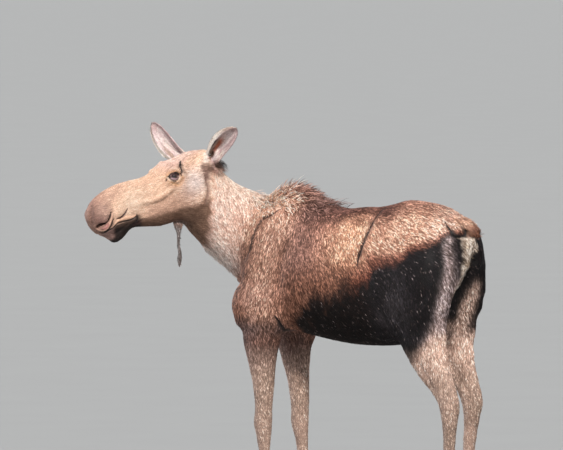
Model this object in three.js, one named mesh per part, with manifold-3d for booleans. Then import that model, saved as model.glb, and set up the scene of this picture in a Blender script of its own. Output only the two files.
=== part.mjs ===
// A cow moose in its short summer coat, life size, standing still with its head turned to its left.
// Millimetres, +Z up. The trunk faces -X, its left side is -Y, and the four feet stand on Z = 0.
//
// The flesh is one smooth field: negative inside the animal, zero at the tips of its coat.
// Each part is a closed sheath of rays cast from the part's own middle line out to that field,
// and flat cuts a fraction of a millimetre wide part it from its neighbours.
import * as THREE from "three";
import { mergeVertices } from "three/addons/utils/BufferGeometryUtils.js";
import Module from "manifold-3d";

const wasm = await Module();
wasm.setup();

// ---------------------------------------------------------------- driving dimensions

const CUT = 0.4; // width of a parting cut, and the play around whatever sits in a pocket
const FAR = 6000; // a box this large stands for half of space
const CLEAR_CUT = 60; // how far a sheath runs on past the cut that will trim it

// How many rays each sheath casts round a ring.
const TRUNK_SECTORS = 32;
const NECK_SECTORS = 28;
const HEAD_SECTORS = 28;
const LEG_SECTORS = 12;

const POLL = [-1617, -199, 1950]; // top of the head, between the ears
const HEAD_YAW = 62; // degrees the head is turned to the left of the trunk
const HEAD_DROP = 27; // degrees the nose points below the horizon

const EYE = { along: 223, out: 90, up: -38, radius: 24 }; // in the head's own frame
const LIDS = { along: 25, out: 22, up: 19 }; // half sizes of the opening between the lids

// Each ear in the head's own frame: where it roots, which way it points and which way its cup faces.
const EARS = {
  left: { root: [-24, 80, -58], points: [-0.4, 0.77, 0.45], faces: [0.72, 0.62, -0.2], bend: 9 },
  right: { root: [54, -83, -47], points: [0.165, -0.277, 0.905], faces: [0.56, 0.66, 0], bend: 16 },
};
const EAR_LENGTH = 272;

// Widths of the fillets between masses of flesh.
const FILLET = { face: 25, muzzle: 22, cleft: 30, shoulder: 40, haunch: 45, body: 55, throat: 70 };

const FORE_STANCE = 138; // from the midline to a fore foot
const HIND_STANCE = 142;

// ---------------------------------------------------------------- small tools

const vec = (x, y, z) => new THREE.Vector3(x, y, z);
const radians = THREE.MathUtils.degToRad;

// An orthonormal frame as a matrix: origin, then where its x, y and z axes point.
function frameOf(origin, x, y, z) {
  return new THREE.Matrix4().makeBasis(x, y, z).setPosition(origin);
}

// The head's frame: x runs from the poll to the nose, y out to the moose's left, z up from the brow.
function headFrame() {
  const yaw = radians(HEAD_YAW);
  const drop = radians(HEAD_DROP);
  const level = vec(-Math.cos(yaw), -Math.sin(yaw), 0);
  const forward = level.clone().multiplyScalar(Math.cos(drop)).setZ(-Math.sin(drop));
  const left = vec(-level.y, level.x, 0);
  return frameOf(vec(...POLL), forward, left, forward.clone().cross(left));
}

const HEAD = headFrame();
const inHead = (along, out, up) => vec(along, out, up).applyMatrix4(HEAD);
const headDirection = (along, out, up) => vec(along, out, up).transformDirection(HEAD);

// ---------------------------------------------------------------- fields

// The smaller of two fields, with a fillet about k wide where they meet.
function softMin(a, b, k) {
  const near = Math.max(k - Math.abs(a - b), 0);
  return Math.min(a, b) - (near * near) / (4 * k);
}

function joined(k, ...fields) {
  return (p) => fields.reduce((least, field) => softMin(least, field(p), k), Infinity);
}

function hollowed(k, body, ...hollows) {
  return (p) => hollows.reduce((value, hollow) => -softMin(-value, hollow(p), k), body(p));
}

function bothSides(field) {
  const mirrored = vec();
  return (p) => Math.min(field(p), field(mirrored.set(p.x, -p.y, p.z)));
}

// An ellipsoid. turn is in degrees about x, y and z.
function ellipsoid({ at, radii, turn = [0, 0, 0] }) {
  const [rx, ry, rz] = radii;
  const toLocal = new THREE.Matrix4()
    .makeRotationFromEuler(new THREE.Euler(...turn.map(radians)))
    .setPosition(...at)
    .invert();
  const q = vec();
  return (p) => {
    q.copy(p).applyMatrix4(toLocal);
    const inside = Math.hypot(q.x / rx, q.y / ry, q.z / rz);
    const slope = Math.hypot(q.x / rx ** 2, q.y / ry ** 2, q.z / rz ** 2);
    return slope < 1e-9 ? -Math.min(rx, ry, rz) : (inside * (inside - 1)) / slope;
  };
}

// A body drawn along a smooth middle line. Each station is [x, y, z, side, above, below]: a point of
// the line and how far the surface lies from it sideways, towards up and away from up.
const STEPS_PER_STATION = 6;
const CAP_DEPTH = 0.7; // how far an end bulges, as a share of its smallest reach
function drawn(stations, { up = [0, 0, 1], roundness = 2 } = {}) {
  const line = new THREE.CatmullRomCurve3(stations.map(([x, y, z]) => vec(x, y, z)));
  const reach = new THREE.CatmullRomCurve3(stations.map((s) => vec(s[3], s[4], s[5])));
  const count = (stations.length - 1) * STEPS_PER_STATION;
  const samples = Array.from({ length: count + 1 }, (_, i) => {
    const forward = line.getTangent(i / count);
    const side = forward.clone().cross(vec(...up)).normalize();
    return {
      at: line.getPoint(i / count),
      reach: reach.getPoint(i / count),
      forward,
      side,
      up: side.clone().cross(forward),
    };
  });
  const q = vec();
  const along = vec();
  return (p) => {
    let best = 0;
    let bestDistance = Infinity;
    samples.forEach((s, i) => {
      const distance = s.at.distanceToSquared(p);
      if (distance < bestDistance) [best, bestDistance] = [i, distance];
    });
    // The foot of p on the line, between the nearest sample and one of its neighbours.
    let from = samples[best];
    let to = samples[Math.min(best + 1, count)];
    along.subVectors(to.at, from.at);
    if (best > 0 && q.subVectors(p, from.at).dot(along) <= 0) {
      [from, to] = [samples[best - 1], from];
      along.subVectors(to.at, from.at);
    }
    const span = along.lengthSq();
    const t = span ? THREE.MathUtils.clamp(q.subVectors(p, from.at).dot(along) / span, 0, 1) : 0;
    const mix = (key) => from[key].clone().lerp(to[key], t);
    q.copy(p).sub(mix("at"));
    const [side, rise, past] = [q.dot(mix("side")), q.dot(mix("up")), q.dot(mix("forward"))];
    const size = mix("reach");
    const radial = Math.pow(
      Math.pow(Math.abs(side) / size.x, roundness) +
        Math.pow(Math.abs(rise) / (rise > 0 ? size.y : size.z), roundness),
      1 / roundness,
    );
    const least = Math.min(size.x, size.y, size.z);
    const atAnEnd = (best === 0 && t === 0) || (best === count && t === 1);
    const inside = atAnEnd ? Math.hypot(radial, past / (CAP_DEPTH * least)) : radial;
    return inside < 1e-6 ? -least : q.length() * (1 - 1 / inside);
  };
}

// A field given in the head's frame, as a field of the whole model.
function placedInHead(field) {
  const toHead = HEAD.clone().invert();
  const q = vec();
  return (p) => field(q.copy(p).applyMatrix4(toHead));
}

// ---------------------------------------------------------------- the flesh

// The barrel: [x, top, bottom, half width, height of the widest place].
function barrel() {
  const sections = [
    [-1395, 1500, 1120, 95, 1280],
    [-1330, 1610, 1050, 160, 1300],
    [-1240, 1655, 1010, 200, 1290],
    [-1120, 1668, 996, 232, 1280],
    [-1000, 1662, 984, 262, 1270],
    [-870, 1654, 958, 284, 1265],
    [-750, 1655, 938, 294, 1270],
    [-620, 1668, 930, 292, 1285],
    [-500, 1680, 934, 276, 1310],
    [-390, 1700, 956, 252, 1350],
    [-270, 1726, 1030, 226, 1400],
    [-170, 1698, 1120, 190, 1430],
    [-80, 1626, 1210, 140, 1440],
    [-10, 1545, 1310, 80, 1440],
  ];
  return drawn(sections.map(([x, top, bottom, wide, z]) => [x, 0, z, wide, top - z, z - bottom]));
}

// The hump over the withers, a narrow ridge of spines, muscle and standing hair.
function hump() {
  const crest = [
    [-1400, 1664],
    [-1330, 1688],
    [-1255, 1738],
    [-1190, 1780],
    [-1125, 1797],
    [-1060, 1788],
    [-995, 1755],
    [-930, 1704],
    [-860, 1664],
  ];
  const HEART = 1470; // height of the ridge's middle line
  const HALF_WIDTH = 150;
  return drawn(
    crest.map(([x, top]) => [x, 0, HEART, HALF_WIDTH, top - HEART, 120]),
    { roundness: 1.5 },
  );
}

function shoulders() {
  return bothSides(
    joined(
      FILLET.shoulder,
      // shoulder blade, leaning back to the withers
      ellipsoid({ at: [-1200, -135, 1420], radii: [128, 80, 262], turn: [-12, 18, 0] }),
      // point of the shoulder
      ellipsoid({ at: [-1318, -150, 1130], radii: [104, 80, 132] }),
      // upper arm down to the elbow
      ellipsoid({ at: [-1160, -172, 1140], radii: [150, 84, 150], turn: [0, -12, 0] }),
    ),
  );
}

function hindquarters() {
  return bothSides(
    joined(
      FILLET.haunch,
      // rump between hip and tail
      ellipsoid({ at: [-245, -105, 1490], radii: [225, 104, 170], turn: [0, 10, 0] }),
      // thigh
      ellipsoid({ at: [-235, -158, 1285], radii: [222, 86, 270], turn: [0, -8, 0] }),
      // buttock
      ellipsoid({ at: [-82, -100, 1392], radii: [90, 78, 192] }),
      // point of the hip
      ellipsoid({ at: [-440, -160, 1566], radii: [66, 44, 54] }),
      // flank fold, from the belly to the stifle
      ellipsoid({ at: [-395, -178, 1130], radii: [95, 46, 170], turn: [0, 24, 0] }),
    ),
  );
}

// Down a leg: [x, z, half width, front, back].
const FORE_SECTIONS = [
  [-1205, 1190, 80, 130, 130],
  [-1216, 1040, 82, 148, 122],
  [-1236, 930, 72, 116, 106],
  [-1233, 800, 55, 76, 76],
  [-1224, 680, 46, 54, 56],
  [-1226, 575, 44, 47, 47],
  [-1227, 515, 49, 54, 46],
  [-1224, 455, 40, 42, 42],
  [-1221, 370, 29, 30, 36],
  [-1220, 240, 29, 30, 37],
  [-1222, 168, 38, 38, 45],
  [-1236, 112, 37, 38, 40],
  [-1254, 58, 42, 46, 42],
  [-1262, 30, 42, 46, 42],
];
const HIND_SECTIONS = [
  [-225, 1260, 78, 190, 180],
  [-215, 1100, 76, 165, 172],
  [-176, 940, 62, 142, 142],
  [-118, 810, 48, 96, 106],
  [-62, 715, 40, 62, 84],
  [-30, 645, 41, 58, 66],
  [-24, 575, 36, 48, 44],
  [-26, 470, 29, 36, 35],
  [-32, 300, 28, 33, 35],
  [-38, 178, 38, 41, 44],
  [-56, 116, 37, 40, 40],
  [-76, 58, 42, 46, 42],
  [-86, 30, 42, 46, 42],
];

// The four legs. side is -1 on the left; step is how far along X the foot stands from its square place.
const LEGS = [
  { name: "leg_fore_left", side: -1, sections: FORE_SECTIONS, stance: FORE_STANCE, step: 0 },
  { name: "leg_fore_right", side: 1, sections: FORE_SECTIONS, stance: FORE_STANCE, step: 60 },
  { name: "leg_hind_left", side: -1, sections: HIND_SECTIONS, stance: HIND_STANCE, step: 0 },
  { name: "leg_hind_right", side: 1, sections: HIND_SECTIONS, stance: HIND_STANCE, step: -120 },
];

// The leg swings from its top, so that it leans and its foot lands a step away and a little wider.
const SPREAD = 8;
function legStations({ side, sections, stance, step }) {
  const top = sections[0][1];
  return sections.map(([x, z, ...reach]) => {
    const down = 1 - z / top;
    return [x + step * down, side * (stance + SPREAD * down), z, ...reach];
  });
}

const legField = (leg) => drawn(legStations(leg), { up: [-1, 0, 0] });

// The neck rises from the shoulders and swings to the left.
const NECK_LINE = [
  [-1180, 0, 1430, 165, 225, 225],
  [-1325, -6, 1482, 160, 235, 252],
  [-1430, -38, 1538, 138, 212, 228],
  [-1517, -89, 1604, 120, 188, 208],
  [-1596, -160, 1700, 108, 158, 182],
  [-1640, -238, 1775, 92, 128, 128],
];

// The skull and muzzle: [along, top, bottom, half width, height of the widest place].
function headLoft() {
  const sections = [
    [-25, -8, -215, 66, -92],
    [30, 17, -255, 80, -95],
    [80, 26, -276, 86, -98],
    [140, 27, -285, 88, -98],
    [213, 23, -286, 84, -98],
    [280, 20, -278, 76, -104],
    [340, 20, -266, 69, -106],
    [400, 30, -234, 65, -96],
    [455, 46, -206, 66, -80],
    [520, 60, -186, 73, -64],
    [585, 61, -184, 80, -64],
    [640, 49, -172, 81, -66],
    [684, 18, -162, 70, -80],
  ];
  return drawn(
    sections.map(([x, top, bottom, wide, z]) => [x, 0, z, wide, top - z, z - bottom]),
    { roundness: 2.25 },
  );
}

function headFlesh() {
  const paired = bothSides(
    joined(
      FILLET.face,
      // rim of the eye socket, with the brow over it
      ellipsoid({ at: [205, 80, -40], radii: [56, 34, 44] }),
      ellipsoid({ at: [180, 66, -8], radii: [66, 34, 30], turn: [0, 0, 8] }),
      // cheek
      ellipsoid({ at: [120, 58, -178], radii: [92, 36, 92] }),
      // cheekbone, a low ridge from under the eye to the upper lip
      ellipsoid({ at: [290, 62, -108], radii: [130, 20, 20], turn: [0, 3, -6] }),
      // wing of the nostril
      ellipsoid({ at: [640, 56, -70], radii: [62, 34, 58] }),
      // root of the ear
      ellipsoid({ at: [4, 74, -58], radii: [42, 34, 44] }),
    ),
  );
  // lower lip and chin
  const chin = ellipsoid({ at: [610, 0, -172], radii: [72, 44, 42], turn: [0, 14, 0] });
  return placedInHead(joined(FILLET.muzzle, headLoft(), paired, chin));
}

// The breast fills the space between the points of the shoulders.
const brisket = ellipsoid({ at: [-1320, 0, 1130], radii: [92, 120, 120] });

// Behind, the thighs part below the root of the tail.
const cleft = ellipsoid({ at: [60, 0, 1190], radii: [150, 30, 270], turn: [0, 8, 0] });

const flesh = hollowed(
  FILLET.cleft,
  joined(
    FILLET.body,
    barrel(),
    hump(),
    shoulders(),
    brisket,
    hindquarters(),
    joined(FILLET.throat, drawn(NECK_LINE), headFlesh()),
    ...LEGS.map(legField),
  ),
  cleft,
);

// ---------------------------------------------------------------- sheaths

// How far out along a ray the field is last inside, by a coarse walk inwards and then halving.
const WALK = 16;
const HALVINGS = 12;
function rayEnd(field, origin, direction, reach) {
  const at = (r) => field(origin.clone().addScaledVector(direction, r));
  let outer = reach;
  if (at(outer) < 0) return outer;
  let inner = outer - WALK;
  while (inner > 0 && at(inner) > 0) [outer, inner] = [inner, inner - WALK];
  inner = Math.max(inner, 0);
  for (let i = 0; i < HALVINGS; i++) {
    const middle = (inner + outer) / 2;
    if (at(middle) < 0) inner = middle;
    else outer = middle;
  }
  return Math.max(outer, 1);
}

// A closed skin round a field. Each ring is { at, side, up, reach, tall, cone }: rays fan out from at
// in the plane of side and up; tall above 1 gathers them towards the ring's top and bottom, and cone
// tips them out of the plane by so many degrees, to round off an end.
function sheath(field, rings, sectors) {
  const loops = rings.map(({ at, side, up, reach, tall = 1, cone = 0 }) => {
    const tip = side.clone().cross(up).multiplyScalar(Math.sin(radians(cone)));
    return Array.from({ length: sectors }, (_, k) => {
      const turn = (k / sectors) * 2 * Math.PI;
      const direction = vec()
        .addScaledVector(side, Math.cos(turn))
        .addScaledVector(up, Math.sin(turn) * tall)
        .normalize()
        .multiplyScalar(Math.cos(radians(cone)))
        .add(tip);
      return at.clone().addScaledVector(direction, rayEnd(field, at, direction, reach));
    });
  });
  return closedLoft(loops);
}

// Triangles over a stack of loops, closed at both ends by a fan from the loop's middle.
function closedLoft(loops) {
  const sectors = loops[0].length;
  const middle = (loop) => loop.reduce((sum, p) => sum.add(p), vec()).divideScalar(sectors);
  const points = [...loops.flat(), middle(loops[0]), middle(loops.at(-1))];
  const faces = [];
  for (let ring = 0; ring + 1 < loops.length; ring++) {
    for (let k = 0; k < sectors; k++) {
      const [a, b] = [ring * sectors + k, ring * sectors + ((k + 1) % sectors)];
      const [c, d] = [a + sectors, b + sectors];
      const straight = points[a].distanceTo(points[d]) < points[b].distanceTo(points[c]);
      faces.push(...(straight ? [a, b, d, a, d, c] : [a, b, c, b, d, c]));
    }
  }
  const [first, last] = [points.length - 2, points.length - 1];
  const start = (loops.length - 1) * sectors;
  for (let k = 0; k < sectors; k++) {
    const next = (k + 1) % sectors;
    faces.push(first, next, k, last, start + k, start + next);
  }
  const geometry = new THREE.BufferGeometry().setFromPoints(points);
  geometry.setIndex(signedVolume(points, faces) < 0 ? faces.reverse() : faces);
  return geometry;
}

function signedVolume(points, faces) {
  let sum = 0;
  const cross = vec();
  for (let i = 0; i < faces.length; i += 3) {
    const [a, b, c] = [points[faces[i]], points[faces[i + 1]], points[faces[i + 2]]];
    sum += a.dot(cross.crossVectors(b, c));
  }
  return sum / 6;
}

// ---------------------------------------------------------------- solids

function solidOf(geometry) {
  const bare = geometry.clone();
  bare.deleteAttribute("normal");
  bare.deleteAttribute("uv");
  const merged = mergeVertices(bare, 1e-3);
  return new wasm.Manifold(
    new wasm.Mesh({
      numProp: 3,
      vertProperties: merged.attributes.position.array,
      triVerts: new Uint32Array(merged.index.array),
    }),
  );
}

function geometryOf(solid) {
  const { vertProperties, triVerts } = solid.getMesh();
  return new THREE.BufferGeometry()
    .setAttribute("position", new THREE.BufferAttribute(vertProperties, 3))
    .setIndex(new THREE.BufferAttribute(triVerts, 1));
}

// Half of space: what lies beyond a plane, starting a given play past it.
function beyond({ at, out }, play = CUT / 2) {
  const box = new THREE.BoxGeometry(FAR, FAR, FAR);
  box.translate(0, 0, FAR / 2 + play);
  box.applyQuaternion(
    new THREE.Quaternion().setFromUnitVectors(vec(0, 0, 1), out.clone().normalize()),
  );
  box.translate(at.x, at.y, at.z);
  return solidOf(box);
}

const shortOf = ({ at, out }, play) => beyond({ at, out: out.clone().negate() }, play);

// ---------------------------------------------------------------- parting planes

// The neck meets the trunk from just ahead of the withers down to the breast.
const NECK_ROOT = { at: vec(-1368, 0, 1480), out: vec(-0.97, 0, 0.26) };
// The head meets the neck behind the ears and the cheeks.
const NAPE = { at: inHead(-34, 0, -50), out: headDirection(0.86, 0, 0.51) };
// A fore leg leaves the trunk at the elbow, and a hind leg on a slant from the groin to the buttock.
const ELBOW = { at: vec(-1215, 0, 972), out: vec(-0.09, 0, -1) };
const GROIN = { at: vec(-250, 0, 1002), out: vec(0.42, 0, -1) };
// Upright planes between which the belly hangs uncut.
const BEHIND_ELBOWS = { at: vec(-980, 0, 0), out: vec(1, 0, 0) };
const MID_BELLY = { at: vec(-700, 0, 0), out: vec(1, 0, 0) };

// ---------------------------------------------------------------- trunk, neck and head

const SIDEWAYS = vec(0, -1, 0);

// Rings of the trunk stand upright along the barrel. From the first and the last of them cones of
// rays open over the breast and the rump.
const BREAST_CONES = [82, 72, 61, 50, 38, 26, 13];
const RUMP_CONES = [10, 20, 30, 40, 50, 60, 71, 82];
function trunkRings() {
  const STATIONS = 21;
  const [front, back] = [-1215, -235];
  const rings = Array.from({ length: STATIONS }, (_, i) => {
    const t = i / (STATIONS - 1);
    return {
      at: vec(THREE.MathUtils.lerp(front, back, t), 0, THREE.MathUtils.lerp(1330, 1420, t)),
      side: SIDEWAYS,
      up: vec(0, 0, 1),
      reach: 640,
      tall: 1.6,
    };
  });
  const breast = BREAST_CONES.map((cone) => ({ ...rings[0], cone }));
  const rump = RUMP_CONES.map((cone) => ({ ...rings.at(-1), cone: -cone }));
  return [...breast, ...rings, ...rump];
}

// The legs go on a little below their parting planes, where the flat cuts then trim them.
function trunkField(play) {
  const partings = [ELBOW, GROIN];
  const below = (p, { at, out }) => p.clone().sub(at).dot(out) - CLEAR_CUT;
  return (p) => Math.max(flesh(p) - play, ...partings.map((parting) => below(p, parting)));
}

function trunk(play = 0) {
  const hind = beyond(GROIN, -CUT / 2).intersect(beyond(MID_BELLY));
  const fore = beyond(ELBOW, -CUT / 2).intersect(shortOf(BEHIND_ELBOWS));
  const whole = solidOf(sheath(trunkField(play), trunkRings(), TRUNK_SECTORS));
  return whole.intersect(shortOf(NECK_ROOT)).subtract(hind).subtract(fore);
}

// Rings of the neck swing from the plane of its root to the plane of the nape.
function neckSheath(play = 0) {
  const line = new THREE.CatmullRomCurve3(NECK_LINE.map(([x, y, z]) => vec(x, y, z)));
  const STATIONS = 12;
  const rings = Array.from({ length: STATIONS }, (_, i) => {
    const t = i / (STATIONS - 1);
    const forward = NECK_ROOT.out.clone().lerp(NAPE.out, THREE.MathUtils.smoothstep(t, 0.05, 0.9));
    forward.normalize();
    const side = forward.clone().cross(vec(0, 0, 1)).normalize();
    return {
      at: line.getPoint(THREE.MathUtils.lerp(0.26, 1, t)),
      side,
      up: side.clone().cross(forward),
      reach: 330,
      tall: 1.3,
    };
  });
  return solidOf(sheath((p) => flesh(p) - play, rings, NECK_SECTORS));
}

const neck = () => neckSheath().intersect(beyond(NECK_ROOT)).intersect(shortOf(NAPE));

// Rings of the head lean with the nape behind, square up towards the muzzle and end in a dome.
const NOSE_CONES = [22, 42, 60, 77];
function headRings() {
  const STATIONS = 25;
  const [back, nose] = [-90, 655];
  const rings = Array.from({ length: STATIONS }, (_, i) => {
    const x = THREE.MathUtils.lerp(back, nose, i / (STATIONS - 1));
    const lean = radians(30) * (1 - THREE.MathUtils.smoothstep(x, 40, 330));
    return {
      at: inHead(x, 0, THREE.MathUtils.lerp(-115, -75, THREE.MathUtils.smoothstep(x, 400, 600))),
      side: headDirection(0, 1, 0),
      up: headDirection(-Math.sin(lean), 0, Math.cos(lean)),
      reach: THREE.MathUtils.lerp(430, 300, THREE.MathUtils.smoothstep(x, 60, 200)),
      tall: 1.5,
    };
  });
  return [...rings, ...NOSE_CONES.map((cone) => ({ ...rings.at(-1), cone }))];
}

function headSheath(play = 0) {
  return solidOf(sheath((p) => flesh(p) - play, headRings(), HEAD_SECTORS));
}

function head() {
  const sockets = [1, -1].map((side) => eyeball(side, CUT).add(lidOpening(side)));
  return headSheath().intersect(beyond(NAPE)).subtract(sockets[0]).subtract(sockets[1]);
}

function ballInHead(at, radii) {
  const ball = new THREE.SphereGeometry(1, 12, 7);
  const place = new THREE.Matrix4().makeTranslation(...at).scale(vec(...radii));
  return solidOf(ball.applyMatrix4(HEAD.clone().multiply(place)));
}

function eyeball(side, play = 0) {
  const radius = EYE.radius + play;
  return ballInHead([EYE.along, side * EYE.out, EYE.up], [radius, radius, radius]);
}

function lidOpening(side) {
  const out = EYE.out + EYE.radius;
  return ballInHead([EYE.along, side * out, EYE.up], [LIDS.along, LIDS.out, LIDS.up]);
}

// ---------------------------------------------------------------- legs and hooves

// A leg is a stack of level rings down its middle line, tilted at the top to match its parting plane
// and cut on a slant at the bottom, where the claws begin.
const LEG_REACH = 190;
const THIGH_GAP = 4; // from the midline to a thigh
const RINGS_PER_LEG = 18;
function legSolid(leg) {
  const parting = leg.sections === FORE_SECTIONS ? ELBOW : GROIN;
  const line = new THREE.CatmullRomCurve3(legStations(leg).map(([x, y, z]) => vec(x, y, z)));
  const top = leg.sections[0][1];
  const rings = line.getPoints(RINGS_PER_LEG).map((at) => {
    const tilt = THREE.MathUtils.smoothstep(at.z, 740, top - 150);
    const out = vec(0, 0, -1).lerp(parting.out.clone().normalize(), tilt).normalize();
    const side = out.clone().cross(vec(-1, 0, 0)).normalize();
    return { at, side, up: side.clone().cross(out), reach: LEG_REACH };
  });
  const own = beyond({ at: vec(0, leg.side * THIGH_GAP, 0), out: vec(0, leg.side, 0) });
  return solidOf(sheath(flesh, rings, LEG_SECTORS))
    .intersect(beyond(parting))
    .intersect(own)
    .intersect(shortOf(coronet(leg)));
}

// The line where horn begins slopes down from the front of the foot to the heel.
const CORONET = { height: 62, slope: 16 };
function coronet(leg) {
  const foot = legStations(leg).at(-1);
  const slope = radians(CORONET.slope);
  return {
    at: vec(foot[0], foot[1], CORONET.height),
    out: vec(-Math.sin(slope), 0, -Math.cos(slope)),
  };
}

// One claw of a cloven hoof: a pointed, flat-soled shoe of horn. Rows are [z, toe, heel, half width].
const CLAW_ROWS = [
  [0, 92, 58, 25],
  [9, 94, 60, 26],
  [45, 66, 50, 23],
  [110, 22, 42, 18],
];
const CLEFT = 4; // half the gap between the claws of a foot
const TOE_TAPER = 0.25; // how much narrower a claw is at its toe
const TOE_LEAN = 0.16; // how far its toe leans towards its fellow, as a share of the half width
function claw(leg, half) {
  const [x, y] = legStations(leg).at(-1);
  const POINTS = 10;
  const loops = CLAW_ROWS.map(([z, toe, heel, wide]) =>
    Array.from({ length: POINTS }, (_, k) => {
      const turn = (2 * Math.PI * k) / POINTS;
      const [forward, across] = [Math.cos(turn), Math.sin(turn)];
      const narrow = forward > 0 ? 1 - TOE_TAPER * forward ** 2 : 1;
      const lean = forward > 0 ? TOE_LEAN * forward ** 2 : 0;
      const outward = wide * (across * narrow - lean);
      const lengthways = (forward > 0 ? toe : heel) * forward;
      return vec(x - lengthways, y + half * (CLEFT + wide + outward), z);
    }),
  );
  return solidOf(closedLoft(loops)).intersect(beyond(coronet(leg)));
}

// A dewclaw is a small blunt cone of horn behind the fetlock, pointing down and back.
const DEWCLAW = { height: 128, back: 36, out: 23, length: 52, root: 15, tip: 8, droop: 55 };
function dewclaw(leg, half, play = 0) {
  const line = legStations(leg);
  const above = line.findIndex(([, , z]) => z < DEWCLAW.height + 20);
  const [x, y] = line[above];
  const cone = new THREE.CylinderGeometry(DEWCLAW.root + play, DEWCLAW.tip + play, DEWCLAW.length, 9);
  const droop = radians(DEWCLAW.droop);
  const down = vec(Math.cos(droop), half * 0.12, -Math.sin(droop)).normalize();
  cone.applyQuaternion(new THREE.Quaternion().setFromUnitVectors(vec(0, -1, 0), down));
  cone.translate(x + DEWCLAW.back, y + half * DEWCLAW.out, DEWCLAW.height);
  return solidOf(cone);
}

// ---------------------------------------------------------------- ears

// An ear is a leaf bent into a cup, filled in at the root. Rows run from root to tip:
// [share of the length, half width, depth of the cup, how far it wraps in degrees, thickness].
const EAR_ROWS = [
  [-0.16, 26, 20, 88, 10],
  [-0.02, 33, 34, 100, 10],
  [0.1, 41, 40, 100, 9],
  [0.22, 50, 40, 92, 8],
  [0.36, 57, 36, 82, 7],
  [0.5, 60, 30, 74, 7],
  [0.64, 58, 24, 68, 6],
  [0.77, 51, 18, 62, 6],
  [0.88, 39, 12, 56, 5],
  [0.96, 23, 6, 50, 4],
  [1, 7, 2, 45, 3],
];
function ear({ root, points, faces, bend }) {
  const along = headDirection(...points);
  const across = headDirection(...faces).cross(along).normalize();
  const frame = frameOf(inHead(...root), along, across, along.clone().cross(across));
  const POINTS = 8;
  const loops = EAR_ROWS.map(([share, wide, deep, wrap, thick]) => {
    const filled = deep * (1 - THREE.MathUtils.smoothstep(share, 0.05, 0.36));
    const face = (offset) =>
      Array.from({ length: POINTS }, (_, k) => {
        const angle = radians(wrap) * (2 * (k / (POINTS - 1)) - 1);
        const y = (wide * Math.sin(angle)) / Math.sin(Math.min(radians(wrap), Math.PI / 2));
        const z = (deep * (1 - Math.cos(angle))) / (1 - Math.cos(radians(wrap)));
        const inner = offset > 0 ? Math.max(z, filled) : z;
        const spread = 1 - offset / wide;
        const bow = bend * Math.sin(Math.PI * THREE.MathUtils.clamp(share, 0, 1));
        return vec(
          share * EAR_LENGTH,
          y * spread + bow,
          inner + offset * Math.cos(angle) - deep / 2,
        );
      });
    return [...face(-thick / 2), ...face(thick / 2).reverse()].map((p) => p.applyMatrix4(frame));
  });
  return solidOf(closedLoft(loops));
}

// ---------------------------------------------------------------- tail and bell

// A tube round a smooth line: rows are [x, y, z, half width, half depth].
function tube(rows, sectors, up = vec(0, -1, 0)) {
  const line = new THREE.CatmullRomCurve3(rows.map(([x, y, z]) => vec(x, y, z)));
  const loops = rows.map(([x, y, z, wide, deep], i) => {
    const forward = line.getTangent(i / (rows.length - 1));
    const side = up.clone().cross(forward).normalize();
    const rise = forward.clone().cross(side);
    return Array.from({ length: sectors }, (_, k) => {
      const turn = (2 * Math.PI * k) / sectors;
      return vec(x, y, z)
        .addScaledVector(side, deep * Math.cos(turn))
        .addScaledVector(rise, wide * Math.sin(turn));
    });
  });
  return solidOf(closedLoft(loops));
}

// A short wedge of a tail, hanging close against the rump.
const TAIL_ROWS = [
  [-120, 0, 1590, 26, 18],
  [-66, 0, 1606, 36, 25],
  [-16, 0, 1586, 42, 28],
  [24, 0, 1556, 37, 23],
  [46, 0, 1534, 24, 14],
  [56, 0, 1522, 9, 6],
];

// The bell, a thin rope of wet skin and hair hanging from the throat, given in the head's frame.
const BELL_ROWS = [
  [262, 0, -250, 16, 40],
  [276, 0, -290, 16, 34],
  [286, 0, -318, 12, 22],
  [302, 0, -352, 8, 11],
  [322, -1, -396, 6, 7],
  [342, 0, -440, 9, 10],
  [356, 0, -470, 11, 12],
  [368, 0, -494, 4, 5],
];
function bell() {
  const rows = BELL_ROWS.map(([along, out, up, ...sizes]) => [
    ...inHead(along, out, up).toArray(),
    ...sizes,
  ]);
  return tube(rows, 7, headDirection(0, 1, 0));
}

// ---------------------------------------------------------------- the model

const COATS = {
  tan: { color: 0xa88468, roughness: 0.85 },
  neck: { color: 0xb19882, roughness: 0.85 },
  brown: { color: 0x6d4c3a, roughness: 0.85 },
  dark: { color: 0x4a3a33, roughness: 0.85 },
  pale: { color: 0xa59488, roughness: 0.85 },
  horn: { color: 0x2c2623, roughness: 0.5 },
  eye: { color: 0x1c0f0a, roughness: 0.08 },
};

const moose = new THREE.Group();

function add(name, solid, coat) {
  const material = new THREE.MeshStandardMaterial({ ...COATS[coat], metalness: 0 });
  const mesh = new THREE.Mesh(geometryOf(solid), material);
  mesh.name = name;
  moose.add(mesh);
}

const headPocket = headSheath(CUT);
const neckPocket = neckSheath(CUT);
const trunkPocket = trunk(CUT);

add("trunk", trunk(), "brown");
add("neck", neck(), "neck");
add("head", head(), "tan");
add("ear_left", ear(EARS.left).subtract(headPocket).subtract(neckPocket), "pale");
add("ear_right", ear(EARS.right).subtract(headPocket), "pale");
add("eye_left", eyeball(1), "eye");
add("eye_right", eyeball(-1), "eye");
add("bell", bell().subtract(headPocket), "dark");
add("tail", tube(TAIL_ROWS, 10).subtract(trunkPocket), "tan");

for (const leg of LEGS) {
  let limb = legSolid(leg);
  const foot = leg.name.replace("leg_", "");
  for (const [place, half] of [["outer", leg.side], ["inner", -leg.side]]) {
    limb = limb.subtract(dewclaw(leg, half, CUT));
    add(`dewclaw_${foot}_${place}`, dewclaw(leg, half), "horn");
    add(`claw_${foot}_${place}`, claw(leg, half), "horn");
  }
  add(leg.name, limb, "dark");
}

// The model stands centred over the origin.
const bounds = new THREE.Box3().setFromObject(moose);
const centre = bounds.getCenter(vec());
moose.children.forEach((mesh) => mesh.geometry.translate(-centre.x, -centre.y, -bounds.min.z));

export default moose;
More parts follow.
